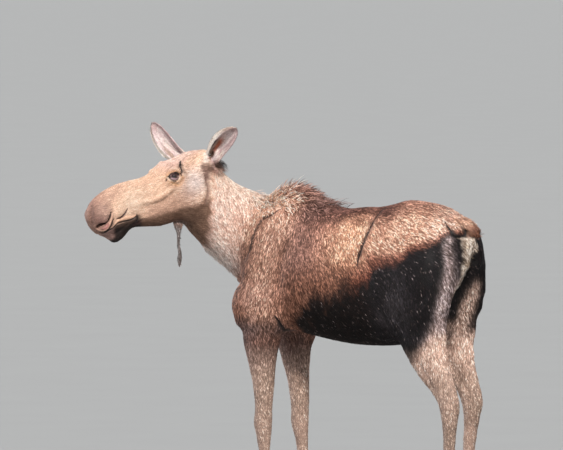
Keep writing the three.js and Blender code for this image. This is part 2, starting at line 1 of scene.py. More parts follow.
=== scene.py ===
"""A life-size cow moose, without antlers, standing with its head turned to its left.

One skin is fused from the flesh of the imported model, smoothed, let in by the depth of the coat and
sculpted. Tufts of hair, each a small solid lock, lie over it along the lie of the coat. Eyes, claws
and dewclaws are pieces of their own. Metres throughout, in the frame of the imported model; distances
written for mm() are millimetres.
"""

import math

import bmesh
import bpy
import numpy as np
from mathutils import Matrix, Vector, kdtree
from mathutils.bvhtree import BVHTree


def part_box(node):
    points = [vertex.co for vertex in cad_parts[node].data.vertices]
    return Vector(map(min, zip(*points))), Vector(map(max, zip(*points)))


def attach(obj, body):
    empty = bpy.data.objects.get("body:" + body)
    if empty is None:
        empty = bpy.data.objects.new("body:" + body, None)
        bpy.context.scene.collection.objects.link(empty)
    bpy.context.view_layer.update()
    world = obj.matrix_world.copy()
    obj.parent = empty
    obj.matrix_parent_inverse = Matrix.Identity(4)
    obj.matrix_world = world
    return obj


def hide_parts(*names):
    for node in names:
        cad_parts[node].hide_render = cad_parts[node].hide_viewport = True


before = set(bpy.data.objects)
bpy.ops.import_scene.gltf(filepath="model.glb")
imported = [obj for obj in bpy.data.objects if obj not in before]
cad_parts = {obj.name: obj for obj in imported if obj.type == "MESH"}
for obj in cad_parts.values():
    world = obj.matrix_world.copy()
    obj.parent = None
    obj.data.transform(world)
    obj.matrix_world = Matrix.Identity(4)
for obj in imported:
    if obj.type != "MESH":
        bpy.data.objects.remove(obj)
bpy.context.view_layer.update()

rng = np.random.default_rng(20)  # seeded, so that every run draws the same hair


# ---------------------------------------------------------------- small tools


def mm(*numbers):
    """Millimetres, as metres: mm(5), or mm([a, b, c], [d, e, f]) for a list of points."""
    value = np.array(numbers[0] if len(numbers) == 1 else numbers, float) / 1000
    return float(value) if value.ndim == 0 else value


def unit(v):
    v = np.asarray(v, float)
    return v / np.maximum(np.linalg.norm(v, axis=-1, keepdims=True), 1e-12)


def step(low, high, x):
    """0 below low, 1 above high and smooth between; low may be the larger."""
    t = np.clip((x - low) / (high - low), 0, 1)
    return t * t * (3 - 2 * t)


def bump(distance, width):
    return np.exp(-((distance / width) ** 2))


def mix(a, b, share):
    share = np.asarray(share)
    a, b = np.asarray(a, float), np.asarray(b, float)
    if share.ndim and max(a.ndim, b.ndim) and (a.shape[-1:] == (3,) or b.shape[-1:] == (3,)):
        share = share[..., None]
    return a + (b - a) * share


def linear(red, green, blue):
    """A colour given as screen values from 0 to 255, as the light it reflects."""
    c = np.array([red, green, blue]) / 255
    return np.where(c <= 0.04045, c / 12.92, ((c + 0.055) / 1.055) ** 2.4)


def hashed(cells, seed):
    """A repeatable random number from 0 to 1 for each whole-numbered cell."""
    h = (cells[:, 0] * 73856093) ^ (cells[:, 1] * 19349663) ^ (cells[:, 2] * 83492791)
    h = (h ^ (seed * 7919 + 104729)) & 0x7FFFFFFF
    h = ((h ^ (h >> 13)) * 1274126177) & 0x7FFFFFFF
    h = ((h ^ (h >> 15)) * 97531) & 0x7FFFFFFF
    return ((h ^ (h >> 11)) & 0xFFFFFF) / 0xFFFFFF


def noise(points, size, seed=0):
    """Smooth noise from -1 to 1 whose lumps are about size across."""
    scaled = points / size
    low = np.floor(scaled).astype(np.int64)
    t = scaled - low
    t = t * t * (3 - 2 * t)
    total = np.zeros(len(points))
    for corner in np.ndindex(2, 2, 2):
        weight = np.prod(np.where(corner, t, 1 - t), axis=1)
        total += weight * hashed(low + corner, seed)
    return 2 * total - 1


def curve(knots, steps=6):
    """A smooth line through a few points."""
    knots = np.asarray(knots, float)
    padded = np.vstack([2 * knots[0] - knots[1], knots, 2 * knots[-1] - knots[-2]])
    t = (np.arange(steps) / steps)[:, None]
    line = []
    for a, b, c, d in zip(padded, padded[1:], padded[2:], padded[3:]):
        cubic = (2 * a - 5 * b + 4 * c - d) * t**2 + (3 * b - a - 3 * c + d) * t**3
        line.append(0.5 * (2 * b + (c - a) * t + cubic))
    return np.vstack(line + [knots[-1:]])


def path(*points):
    """A smooth line through points given in millimetres."""
    return curve(mm(*points))


def from_line(points, line):
    """How far each point is from a line, and how far along it that place is, from 0 to 1."""
    nearest = np.full(len(points), np.inf)
    along = np.zeros(len(points))
    lengths = np.linalg.norm(np.diff(line, axis=0), axis=1)
    starts = np.concatenate([[0], np.cumsum(lengths)])
    for i, (a, b) in enumerate(zip(line, line[1:])):
        t = np.clip((points - a) @ (b - a) / max((b - a) @ (b - a), 1e-12), 0, 1)
        distance = np.linalg.norm(points - a - t[:, None] * (b - a), axis=1)
        closer = distance < nearest
        nearest = np.where(closer, distance, nearest)
        along = np.where(closer, (starts[i] + t * lengths[i]) / starts[-1], along)
    return nearest, along


# ---------------------------------------------------------------- places


class Place:
    """A frame of its own on the animal: a point and three axes."""

    def __init__(self, origin, axes):
        self.origin = np.asarray(origin, float)
        self.axes = np.asarray(axes, float)

    def local(self, points):
        return (points - self.origin) @ self.axes.T

    def world(self, points):
        return self.origin + np.asarray(points) @ self.axes

    def turn(self, directions):
        return np.asarray(directions) @ self.axes


def corners(node):
    low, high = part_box(node)
    return np.array(low), np.array(high)


def centre(node):
    return sum(corners(node)) / 2


EYE_ALONG, EYE_UP = mm(223), mm(-38)  # the eyes, from the poll, in the head's frame
HEAD_DROP = math.radians(27)  # the nose points this far below the horizon


def head_place():
    """From the poll: x to the nose, y out to the moose's left, z up from the brow."""
    left_eye, right_eye = centre("eye_left"), centre("eye_right")
    left = unit(left_eye - right_eye)
    level = np.cross(left, [0, 0, 1])
    forward = level * math.cos(HEAD_DROP) - np.array([0, 0, math.sin(HEAD_DROP)])
    up = np.cross(forward, left)
    poll = (left_eye + right_eye) / 2 - EYE_ALONG * forward - EYE_UP * up
    return Place(poll, [forward, left, up])


def body_place():
    """From the floor under the buttocks: x towards the breast, y out to the moose's left, z up."""
    low, high = corners("trunk")
    return Place([high[0], (low[1] + high[1]) / 2, 0], [[-1, 0, 0], [0, -1, 0], [0, 0, 1]])


def folded(place, points):
    """Points in a place's frame, with the right side laid over the left."""
    q = place.local(points)
    q[:, 1] = np.abs(q[:, 1])
    return q


HEAD = head_place()
BODY = body_place()
LEGS = ["leg_fore_left", "leg_fore_right", "leg_hind_left", "leg_hind_right"]
EARS = ["ear_left", "ear_right"]
FLESH = ["trunk", "neck", "head", "bell", "tail", *EARS, *LEGS]

# ---------------------------------------------------------------- meshes


def new_object(name, mesh):
    thing = bpy.data.objects.new(name, mesh)
    bpy.context.scene.collection.objects.link(thing)
    return thing


def mesh_of(name, points, faces):
    """A mesh from arrays, where every face has as many corners as faces has columns."""
    mesh = bpy.data.meshes.new(name)
    mesh.vertices.add(len(points))
    mesh.vertices.foreach_set("co", np.asarray(points, np.float32).ravel())
    mesh.loops.add(faces.size)
    mesh.loops.foreach_set("vertex_index", faces.astype(np.int32).ravel())
    mesh.polygons.add(len(faces))
    mesh.polygons.foreach_set("loop_start", np.arange(0, faces.size, faces.shape[1], dtype=np.int32))
    mesh.update(calc_edges=True)
    mesh.shade_smooth()
    return mesh


def fetched(items, key, columns, kind=np.float32):
    """One property of all the items of a mesh, as the rows of an array."""
    values = np.empty(len(items) * columns, kind)
    items.foreach_get(key, values)
    return values.reshape(-1, columns)


def applied(thing):
    """The mesh of an object with its modifiers applied."""
    return bpy.data.meshes.new_from_object(thing.evaluated_get(bpy.context.evaluated_depsgraph_get()))


def even_object(name, points, faces, voxel):
    """A new object of even squares over closed surfaces, fused where they overlap."""
    thing = new_object(name, mesh_of(name, points, faces))
    remesh = thing.modifiers.new("even", "REMESH")
    remesh.mode = "VOXEL"
    remesh.voxel_size = voxel
    mesh = applied(thing)
    thing.modifiers.clear()
    thing.data = mesh
    return thing


def points_of(mesh):
    return fetched(mesh.vertices, "co", 3).astype(float)


def normals_of(mesh):
    return fetched(mesh.vertex_normals, "vector", 3).astype(float)


def face_centres(mesh):
    return fetched(mesh.polygons, "center", 3).astype(float)


def edges_of(mesh):
    return fetched(mesh.edges, "vertices", 2, np.int32)


def triangles_of(mesh):
    mesh.calc_loop_triangles()
    return fetched(mesh.loop_triangles, "vertices", 3, np.int32)


def move_points(mesh, points):
    mesh.vertices.foreach_set("co", np.asarray(points, np.float32).ravel())
    mesh.update()


def spread(values, edges, rounds):
    """Blurs a value for each point along the edges."""
    values = np.asarray(values, float)
    columns = values.reshape(len(values), -1).copy()
    count = np.bincount(edges.ravel(), minlength=len(values)) + 1
    for _ in range(rounds):
        columns = (columns + neighbours_sum(columns, edges)) / count[:, None]
    return columns.reshape(values.shape)


def neighbours_sum(columns, edges):
    total = np.empty_like(columns)
    for k in range(columns.shape[1]):
        total[:, k] = np.bincount(edges[:, 0], columns[edges[:, 1], k], len(columns))
        total[:, k] += np.bincount(edges[:, 1], columns[edges[:, 0], k], len(columns))
    return total


def smoothed(points, edges, share, rounds):
    """Evens out what is shorter than a few edges, without shrinking the whole (Taubin)."""
    count = np.maximum(np.bincount(edges.ravel(), minlength=len(points)), 1)[:, None]
    share = np.asarray(share)[:, None]
    for _ in range(rounds):
        for pull in (0.5, -0.525):
            points = points + pull * share * (neighbours_sum(points, edges) / count - points)
    return points


# ---------------------------------------------------------------- the skin's rough shape

VOXEL = mm(16)  # the squares of the first, even skin
SWELL = mm(0.8)  # closes the parting cuts between the solids
SAME_POINT = mm(0.05)  # CAD corners nearer than this are one


def swollen(node):
    """A CAD solid with its corners merged and moved out by SWELL."""
    bm = bmesh.new()
    bm.from_mesh(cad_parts[node].data)
    bmesh.ops.remove_doubles(bm, verts=bm.verts, dist=SAME_POINT)
    bmesh.ops.triangulate(bm, faces=bm.faces)
    bm.normal_update()
    points = np.array([v.co + v.normal * SWELL for v in bm.verts])
    faces = np.array([[v.index for v in f.verts] for f in bm.faces])
    bm.free()
    return points, faces


def fused(nodes):
    """The skin as one closed object over all the nodes, with their points and whose each one is."""
    points, faces, owners, start = [], [], [], 0
    for node in nodes:
        p, f = swollen(node)
        points.append(p)
        faces.append(f + start)
        owners += [node] * len(p)
        start += len(p)
    points = np.vstack(points)
    return even_object("skin", points, np.vstack(faces), VOXEL), points, np.array(owners)


# ---------------------------------------------------------------- regions

BLUR = 5  # rounds that soften a region's edge on the rough skin


def tree_of(points):
    tree = kdtree.KDTree(len(points))
    for i, point in enumerate(points):
        tree.insert(point, i)
    tree.balance()
    return tree


def memberships(points, edges, cad_points, owners):
    """For each node, how far each point of the skin belongs to it, from 0 to 1."""
    order = sorted(set(owners))
    tree = tree_of(cad_points)
    nearest = np.array([tree.find(p)[1] for p in points])
    return {node: spread((owners[nearest] == node) * 1.0, edges, BLUR) for node in order}


# ---------------------------------------------------------------- features of the head

# In the head's frame (x from the poll to the nose, y out from the middle, z up), on the left; the
# right side mirrors them. A groove's or ridge's line comes with its width and its depth, which is
# negative for a ridge.
NOSTRIL_SLIT = path(
    [717, 50, -83], [706, 66, -79], [684, 81, -80], [668, 87, -74], [655, 90, -63],
    [640, 90, -52], [629, 88, -41],
)
NOSTRIL_WING = path([708, 58, -96], [692, 71, -100], [676, 80, -92], [664, 87, -80])
NOSTRIL_RIM = path(
    [719, 42, -98], [704, 55, -109], [686, 70, -109], [667, 83, -96], [650, 90, -76],
    [637, 91, -62], [626, 90, -46],
)
RIM_CREASE = path(
    [718, 31, -112], [702, 46, -122], [674, 71, -116], [655, 84, -102], [640, 90, -85], [629, 91, -74]
)
MOUTH_LINE = path(
    [708, 0, -131], [703, 26, -129], [693, 48, -127], [674, 65, -125], [650, 73, -121], [622, 82, -111],
    [590, 76, -117], [556, 68, -127], [525, 63, -136], [502, 61, -132], [492, 62, -124]
)
MOUTH_CORNER = path([490, 63, -122], [494, 57, -142], [503, 51, -158], [530, 45, -165])
LIP_EDGE = path([648, 78, -114], [618, 86, -99], [566, 75, -106], [515, 64, -125], [501, 63, -124])
LIP_FOLD = path([530, 73, -68], [540, 74, -78], [561, 77, -87], [587, 81, -92], [615, 87, -84])
NOSE_GROOVE = path([688, 22, 34], [706, 36, 14], [720, 41, -12], [730, 36, -38], [732, 28, -64])
CHIN_CREASE = path([459, 52, -167], [500, 44, -171], [544, 35, -177])
BROW_FURROW = path(
    [138, 68, 12], [152, 82, 4], [167, 97, -7], [171, 103, -27], [178, 106, -42], [186, 105, -52]
)
TEAR_LINE = path([246, 95, -24], [253, 89, -25], [263, 84, -34], [271, 79, -45])
UNDER_EYE = path([252, 90, -62], [238, 94, -80], [222, 95, -90], [200, 99, -82], [186, 103, -66])
JAW_GROOVE = path([66, 104, -118], [72, 106, -150], [90, 110, -196], [140, 105, -252])  # jaw from neck
HEAD_FOLDS = [
    (BROW_FURROW, mm(7.5), mm(10)),
    (TEAR_LINE, mm(3.2), mm(3)),
    (MOUTH_LINE, mm(4), mm(6)),
    (MOUTH_CORNER, mm(4.5), mm(4.5)),
    (RIM_CREASE, mm(4.5), mm(7)),
    (NOSTRIL_RIM, mm(5), mm(-5)),
    (NOSTRIL_WING, mm(5), mm(-4)),
    (LIP_FOLD, mm(5), mm(6.5)),
    (LIP_EDGE, mm(6), mm(-3)),
    (NOSE_GROOVE, mm(12), mm(5)),
    (CHIN_CREASE, mm(6), mm(4)),
    (path([556, 79, -52], [588, 86, -64], [614, 88, -68]), mm(20), mm(-6)),  # bulge behind the nostril
    (path([622, 88, -38], [609, 85, -46], [606, 86, -60]), mm(4), mm(4)),  # behind the nostril
    (UNDER_EYE, mm(8), mm(4)),
    (path([219, 96, -84], [290, 84, -102], [352, 76, -104], [420, 70, -86], [500, 71, -70]), mm(13), mm(-5)),
    (path([235, 92, -112], [300, 80, -126], [360, 70, -128], [450, 66, -108]), mm(15), mm(5)),
    (path([250, 84, -140], [330, 72, -170], [420, 62, -170], [480, 60, -160]), mm(8), mm(-2)),  # veins
    (path([330, 72, -170], [300, 70, -215], [260, 66, -250]), mm(7), mm(-1.8)),
    (path([60, 82, -20], [95, 88, -40], [120, 92, -64]), mm(24), mm(6)),  # temple
    (path([180, 56, 30], [225, 46, 22], [265, 36, 14], [296, 28, 12]), mm(26), mm(-13)),  # brow
    (path([100, 98, -112], [112, 98, -190], [165, 90, -240]), mm(22), mm(-5)),  # edge of the jaw muscle
    (JAW_GROOVE, mm(14), mm(8)),
    (path([645, 40, -158], [600, 56, -150], [552, 56, -150]), mm(9), mm(4)),  # under the lower lip
]
HEAD_LINES = [NOSTRIL_SLIT, *(line for line, _, _ in HEAD_FOLDS)]
EYE_BALL = mm(24)  # its radius
EYE_OUT = mm(90)  # its middle, from the middle of the head
EYE_CENTRE = np.array([EYE_ALONG, EYE_OUT, EYE_UP])
GAZE = unit([0.12, 1, 0.05])
LID_AXIS = unit(np.cross(np.cross(GAZE, [0.916, 0, 0.40]), GAZE))  # towards the tear duct
LID_RISE = np.cross(LID_AXIS, GAZE)  # towards the brow
OPENING = {"across": mm(23), "above": mm(18.5), "below": mm(16)}  # half sizes of the lids' almond
LID_THICKNESS = mm(2.4)
SUNK = mm(7)  # how far the skin runs on behind the eyeball's surface


def eye_spot(q):
    """Where points of the head's frame are from the left eye's middle: across, up and outwards."""
    v = q - EYE_CENTRE
    return v @ LID_AXIS, v @ LID_RISE, v @ GAZE


def half_opening(rise):
    """Half the height of the lids' almond, above or below the eye's middle."""
    return np.where(rise > 0, OPENING["above"], OPENING["below"])


def from_lids(across, rise):
    """1 at the edge of the lids, less on the eyeball and more outside."""
    return np.hypot(across / OPENING["across"], rise / half_opening(rise))


def with_eyelids(q):
    """Lays the skin over the eyeball as lids, and sinks an almond of it behind the ball."""
    across, rise, height = eye_spot(q)
    radial = np.hypot(across, rise)
    near = (radial < mm(60)) & (height > mm(-12))
    lean = across - 0.12 * rise  # the upper lid is fullest ahead of the middle
    edge = np.abs(lean / OPENING["across"]) ** 1.7 + np.abs(rise / half_opening(rise)) ** 1.9
    edge = edge ** (1 / 1.8)
    ball = np.sqrt(np.maximum(EYE_BALL**2 - radial**2, 0))
    lid_ball = EYE_BALL + LID_THICKNESS
    lid = np.sqrt(np.maximum(lid_ball**2 - radial**2, 0)) + mm(1.2) * bump(edge - 1.2, 0.14)
    crease = mm(2.4) * bump(edge - 1.62, 0.11) * step(mm(-4), mm(6), rise)
    pouch = mm(1.6) * bump(edge - 1.6, 0.12) * step(mm(2), mm(-6), rise)
    lid = np.maximum(lid, height - mm(9))
    outer = mix(lid, height, step(1.15, 1.9, edge)) - crease - pouch
    target = mix(ball - SUNK, outer, step(0.92, 1.03, edge))
    return q + np.where(near, target - height, 0)[:, None] * GAZE


def with_nostrils(q):
    """Opens each nostril as a comma: a hole in front that runs up and back into a slit."""
    distance, along = from_line(q, NOSTRIL_SLIT)
    width = mix(mm(13), mm(5.5), step(0.1, 0.6, along))
    depth = mix(mm(30), mm(11), step(0.1, 0.8, along))
    pit = step(1.3, 0, distance / width) * depth
    return q + pit[:, None] * unit([-0.35, -1, 0.25])


def head_sculpted(points, normals, share):
    """Folds, nostrils and lids, worked on one side and mirrored to the other."""
    chosen = np.flatnonzero(share > 0.02)
    q = HEAD.local(points[chosen])
    n = normals[chosen] @ HEAD.axes.T
    side = np.where(q[:, 1] < 0, -1.0, 1.0)
    q[:, 1] *= side
    n[:, 1] *= side
    for line, width, depth in HEAD_FOLDS:
        distance, along = from_line(q, line)
        ends = step(1, 0.9, along) * (1 if line is MOUTH_LINE else step(0, 0.15, along))
        q = q - n * (depth * bump(distance, width) * np.maximum(ends, 0.15))[:, None]
    q = with_nostrils(q)
    q = with_eyelids(q)
    q[:, 1] *= side
    points = points.copy()
    points[chosen] = HEAD.world(q)
    return points


def lay_on_skin(mesh, place, lines):
    """Moves each line of a place's frame onto the skin next to it."""
    surface = BVHTree.FromPolygons(points_of(mesh).tolist(), triangles_of(mesh).tolist())
    for line in lines:
        line[:] = place.local(np.array([surface.find_nearest(point)[0] for point in place.world(line)]))


def carry_along(place, lines, before, after):
    """Moves each line with the points of the skin next to it."""
    tree = tree_of(before)
    for line in lines:
        nearest = [tree.find(point)[1] for point in place.world(line)]
        line += (after - before)[nearest] @ place.axes.T


# Where the skin gets a finer mesh: lines, and how far from them.
FINE_LINES = [
    (BROW_FURROW, mm(13)), (TEAR_LINE, mm(8)), (MOUTH_LINE, mm(11)), (NOSTRIL_SLIT, mm(18)),
    (LIP_FOLD, mm(10)), (RIM_CREASE, mm(10)), (MOUTH_CORNER, mm(9)),
]
FINEST_LINES = [(NOSTRIL_SLIT, mm(9)), (RIM_CREASE, mm(5)), (MOUTH_LINE, mm(4))]
EYE_REACH = mm(34)  # and how far round the eye
HEAD_PARTINGS = [  # where the face's hair is short and thin
    BROW_FURROW, TEAR_LINE, RIM_CREASE, NOSTRIL_RIM, MOUTH_CORNER, MOUTH_LINE, LIP_FOLD, LIP_EDGE
]


def near_details(q, lines, reach):
    """Whether points of the head's frame are near the eyes or one of the lines."""
    q = q * [1, 0, 1] + np.abs(q) * [0, 1, 0]  # both sides as the left
    near = np.linalg.norm(q - EYE_CENTRE - mm(20) * GAZE, axis=1) < EYE_REACH * min(reach, 1)
    for line, width in lines:
        near |= from_line(q, line)[0] < width * reach
    return near


def refine(mesh, chosen):
    """Splits the chosen faces in four."""
    bm = bmesh.new()
    bm.from_mesh(mesh)
    bm.faces.ensure_lookup_table()
    edges = {edge for i in np.flatnonzero(chosen) for edge in bm.faces[i].edges}
    bmesh.ops.subdivide_edges(bm, edges=list(edges), cuts=1, use_grid_fill=True)
    bm.to_mesh(mesh)
    bm.free()


# ---------------------------------------------------------------- features of the body

# In the body's frame: x forward from the buttocks, z up. Each line lies on the left flank and is
# mirrored; [x, z] with width and depth, negative for a ridge.


def flank(*pairs):
    return path([[x, 0, z] for x, z in pairs])


SHOULDER_CREASE = flank(
    [1172, 1643], [1225, 1612], [1268, 1587], [1299, 1521], [1318, 1440], [1335, 1385]
)
HIP_CREASE = flank([550, 1650], [533, 1591], [551, 1519], [562, 1457], [574, 1405], [572, 1360])
ARM_GROOVE = flank([1085, 1480], [1090, 1425], [1104, 1253], [1110, 1190])
ELBOW_CREASE = flank([1128, 1090], [1118, 1040], [1118, 985], [1126, 930])
FLANK_FOLD = flank([545, 1405], [510, 1330], [500, 1240], [452, 1130], [400, 1050], [380, 1000])
BODY_FOLDS = [
    (HIP_CREASE, mm(8), mm(12)),
    # the edge of the hip
    (flank([522, 1650], [512, 1591], [528, 1519], [540, 1457], [550, 1405]), mm(20), mm(-7)),
    (FLANK_FOLD, mm(20), mm(9)),
    (SHOULDER_CREASE, mm(8), mm(11)),
    (SHOULDER_CREASE + mm([26, 0, 12]), mm(22), mm(-7)),  # the neck's muscle before the shoulder
    (ARM_GROOVE, mm(32), mm(9)),
    (flank([1290, 1600], [1250, 1500], [1215, 1380]), mm(34), mm(-6)),  # spine of the shoulder blade
    (flank([1330, 1300], [1240, 1240], [1150, 1190]), mm(26), mm(7)),  # above the upper arm
    (ELBOW_CREASE, mm(12), mm(11)),
    (flank([150, 1540], [135, 1400], [165, 1250], [215, 1120]), mm(26), mm(8)),  # between the thigh's muscles
    (flank([255, 900], [205, 820], [165, 760], [130, 700]), mm(13), mm(9)),  # before the hock tendon
]
SHARP_CREASES = [HIP_CREASE, SHOULDER_CREASE, ELBOW_CREASE]
# These lie behind, under the tail, in the body's frame: x forward, y out, z up.
TAIL_FOLD = path(
    [116, 110, 1608], [110, 114, 1593], [86, 118, 1566], [64, 119, 1540], [50, 97, 1522], [43, 62, 1518]
)
TAIL_EDGE = path([74, 40, 1604], [66, 38, 1588], [56, 25, 1553], [36, 22, 1531], [22, 0, 1518])
CLEFT = path([30, 0, 1500], [60, 0, 1400], [95, 0, 1280], [130, 0, 1180])
REAR_FOLDS = [
    (TAIL_FOLD, mm(7), mm(10)),
    (TAIL_EDGE, mm(6), mm(9)),
    (path([84, 84, 1590], [60, 84, 1556], [44, 74, 1535]), mm(20), mm(-9)),  # the fold beside the tail
    (CLEFT, mm(24), mm(18)),
    (path([60, 52, 1480], [80, 56, 1380], [110, 60, 1260]), mm(22), mm(-8)),  # inner edges of the thighs
]
REAR_LINES = [line for line, _, _ in REAR_FOLDS]
FLANK_HOLLOW = {"at": mm([640, 0, 1560]), "radii": mm([95, 1, 75]), "depth": mm(16)}


def near_creases(q, reach):
    """Whether points of the body's frame are near a sharp crease of its sides."""
    return np.min([from_line(q * [1, 0, 1], line)[0] for line in SHARP_CREASES], axis=0) < reach


def body_sculpted(points, normals, share):
    q = folded(BODY, points)
    n = normals @ BODY.axes.T
    sideways = step(0.15, 0.6, np.abs(n[:, 1])) * share
    flat = q * [1, 0, 1]
    push = np.zeros(len(q))
    for line, width, depth in BODY_FOLDS:
        distance, along = from_line(flat, line)
        push -= depth * bump(distance, width) * step(0, 0.2, along) * step(1, 0.8, along)
    hollow = np.linalg.norm((flat - FLANK_HOLLOW["at"]) / FLANK_HOLLOW["radii"], axis=1)
    push -= FLANK_HOLLOW["depth"] * step(1.2, 0, hollow)
    points = points + normals * (push * sideways)[:, None]
    for line, width, depth in REAR_FOLDS:
        distance, along = from_line(q, line)
        ends = step(0, 0.15, along) * step(1, 0.9, along)
        points = points - normals * (share * depth * bump(distance, width) * ends)[:, None]
    # slow unevenness of muscle under the coat
    lumps = mm(3.5) * noise(points, mm(150), 3) + mm(1.6) * noise(points, mm(60), 4)
    return points + normals * (lumps * sideways)[:, None]


# ---------------------------------------------------------------- ears and bell

# How each ear sits in the head's frame: where it roots, which way it points, which way its cup
# faces and how far it bows.
EAR_SET = {
    "ear_left": (mm([-24, 80, -58]), [-0.38, 0.77, 0.45], [0.72, 0.62, -0.2], mm(9)),
    "ear_right": (mm([54, -83, -47]), [0.165, -0.277, 0.905], [0.56, 0.66, 0], mm(16)),
}
# From root to tip: share of the length, half width, depth of the cup, how far it wraps, thickness.
EAR_SHAPE = np.array([
    [-0.16, 26, 20, 88, 10], [-0.02, 33, 34, 100, 10], [0.1, 41, 40, 100, 9], [0.22, 50, 40, 92, 8],
    [0.36, 57, 36, 82, 7], [0.5, 60, 30, 74, 7], [0.64, 58, 24, 68, 6], [0.77, 51, 18, 62, 6],
    [0.88, 39, 12, 56, 5], [0.96, 23, 6, 50, 4], [1, 7, 2, 45, 3],
])
EAR_RINGS, EAR_POINTS = 56, 26  # along it, and across each face
EAR_HOLE = (0.09, 0.28)  # share of the length, place across
EAR_COAT = mm(1.6)
EAR_BACK_HALF = 0.82  # the half behind the middle is narrower
EAR_ROLL = 0.68  # place across beyond which the front edge rolls out
EAR_ROLL_SLOPE = 0.6  # how steeply it rolls towards the open side
EAR_RIDGES = [(-0.45, 0.1), (-0.12, 0.09), (0.2, 0.09), (0.5, 0.1)]  # place across the cup, width


def ear_place(node):
    """The ear's own frame: x from root to tip, y across, z out of the back of the cup."""
    root, pointing, facing, _ = EAR_SET[node]
    along = unit(HEAD.turn(pointing))
    across = unit(np.cross(HEAD.turn(facing), along))
    return Place(HEAD.world(root), [along, across, np.cross(along, across)])


def ear_length(node):
    cad = np.array([v.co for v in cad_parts[node].data.vertices])
    return ear_place(node).local(cad)[:, 0].max() - EAR_COAT


def closed_tube(loops):
    """Quads over a stack of equal loops, with a fan at each end, all as triangles."""
    rings, sectors = loops.shape[:2]
    points = np.vstack([loops.reshape(-1, 3), loops[0].mean(axis=0), loops[-1].mean(axis=0)])
    ring, k = np.meshgrid(np.arange(rings - 1), np.arange(sectors), indexing="ij")
    a, b = ring * sectors + k, ring * sectors + (k + 1) % sectors
    quads = np.stack([a, b, b + sectors, a + sectors], axis=-1).reshape(-1, 4)
    k = np.arange(sectors)
    first, last = len(points) - 2, len(points) - 1
    after, top = (k + 1) % sectors, (rings - 1) * sectors
    caps = [
        np.stack([np.full(sectors, first), after, k], axis=-1),
        np.stack([np.full(sectors, last), top + k, top + after], axis=-1),
    ]
    faces = np.vstack([quads[:, [0, 1, 2]], quads[:, [0, 2, 3]], *caps])
    tri = points[faces]
    volume = np.einsum("ij,ij->i", tri[:, 0], np.cross(tri[:, 1], tri[:, 2])).sum()
    return points, faces if volume > 0 else faces[:, ::-1]


def ear_solid(node):
    place, length, bow = ear_place(node), ear_length(node), EAR_SET[node][3]
    shares = -0.16 + 1.16 * np.sin(np.linspace(0, math.pi / 2, EAR_RINGS))
    wide, deep, wrap, thick = (
        np.interp(shares, EAR_SHAPE[:, 0], column)[:, None] for column in EAR_SHAPE.T[1:]
    )
    wide, deep, thick = mm(1) * (wide - 1.6), mm(1) * deep, mm(1) * thick * 0.62
    wrap = np.radians(wrap)
    shares = shares[:, None]
    across = np.linspace(-1, 1, EAR_POINTS)[None]
    angle = wrap * np.minimum(across / np.where(across > 0, EAR_ROLL, 1), 1)
    rolled = wide * np.maximum(across - EAR_ROLL, 0)
    y = wide * np.where(across > 0, EAR_ROLL, 1) * np.sin(angle)
    y = y / np.sin(np.minimum(wrap, math.pi / 2)) + rolled
    y = y * np.where(across < 0, mix(1, EAR_BACK_HALF, step(0.05, 0.35, shares)), 1)
    z = deep * (1 - np.cos(angle)) / (1 - np.cos(wrap)) - EAR_ROLL_SLOPE * rolled
    filled = deep * (1 - step(0.02, 0.34, shares))
    filled = filled * (1 - 0.85 * bump(across - EAR_HOLE[1], 0.24) * bump(shares - EAR_HOLE[0], 0.07))
    ridges = sum(bump(across - at, width) for at, width in EAR_RIDGES)
    ridges = mm(2.2) * ridges * step(0.12, 0.3, shares) * step(0.95, 0.55, shares)
    faces = []
    for offset, height in ((-thick / 2, z), (thick / 2, np.maximum(z, filled) + ridges)):
        faces.append(np.stack([
            shares * length + 0 * y,
            y * (1 - offset / np.maximum(wide, mm(4))) + bow * np.sin(math.pi * np.clip(shares, 0, 1)),
            height + offset * np.cos(angle) - deep / 2,
        ], axis=-1))
    return closed_tube(place.world(np.concatenate([faces[0], faces[1][:, ::-1]], axis=1)))


# The bell in the head's frame: along, out, up, half width, half depth.
BELL_ROWS = mm(
    [248, 0, -240, 11, 46], [266, 0, -278, 10, 36], [283, 0, -310, 8, 19], [298, 0, -344, 5, 8],
    [322, -2, -396, 4, 4.5], [338, 2, -436, 5, 6], [354, 0, -466, 7.5, 9], [368, 0, -494, 3, 3.5]
)


def bell_solid(sectors=18, steps=10):
    line = curve(BELL_ROWS[:, :3], steps)
    sizes = curve(np.column_stack([BELL_ROWS[:, 3:], BELL_ROWS[:, 3]]), steps)
    forward = unit(np.gradient(line, axis=0))
    side = unit(np.cross([0, 1, 0], forward))
    rise = np.cross(forward, side)
    turn = np.linspace(0, 2 * math.pi, sectors, endpoint=False)[None, :, None]
    drop = np.linspace(0, 1, len(line))[:, None, None]
    strands = 1 + 0.13 * np.cos(3 * turn + 16 * drop) * step(0.15, 0.4, drop)  # twisted like rope
    sideways = side[:, None] * np.cos(turn) * sizes[:, 1, None, None]
    upwards = rise[:, None] * np.sin(turn) * sizes[:, 0, None, None]
    loops = line[:, None] + strands * (sideways + upwards)
    return closed_tube(HEAD.world(loops.reshape(-1, 3)).reshape(loops.shape))


def add_solid(skin, name, solid):
    """Grows the skin by a closed solid."""
    tool = new_object(name, mesh_of(name, *solid))
    union = skin.modifiers.new(name, "BOOLEAN")
    union.operation = "UNION"
    union.solver = "MANIFOLD"
    union.object = tool
    whole = applied(skin)
    skin.modifiers.clear()
    skin.data = whole
    bpy.data.objects.remove(tool)


# ---------------------------------------------------------------- the coat's depth


def hump_share(points):
    """1 on the crest of the hump, where the hair stands."""
    q = BODY.local(points)
    crest = bump(q[:, 1], mm(105)) * step(0.86, 1.0, q[:, 0]) * step(1.44, 1.3, q[:, 0])
    return crest * step(1.6, 1.72, q[:, 2])


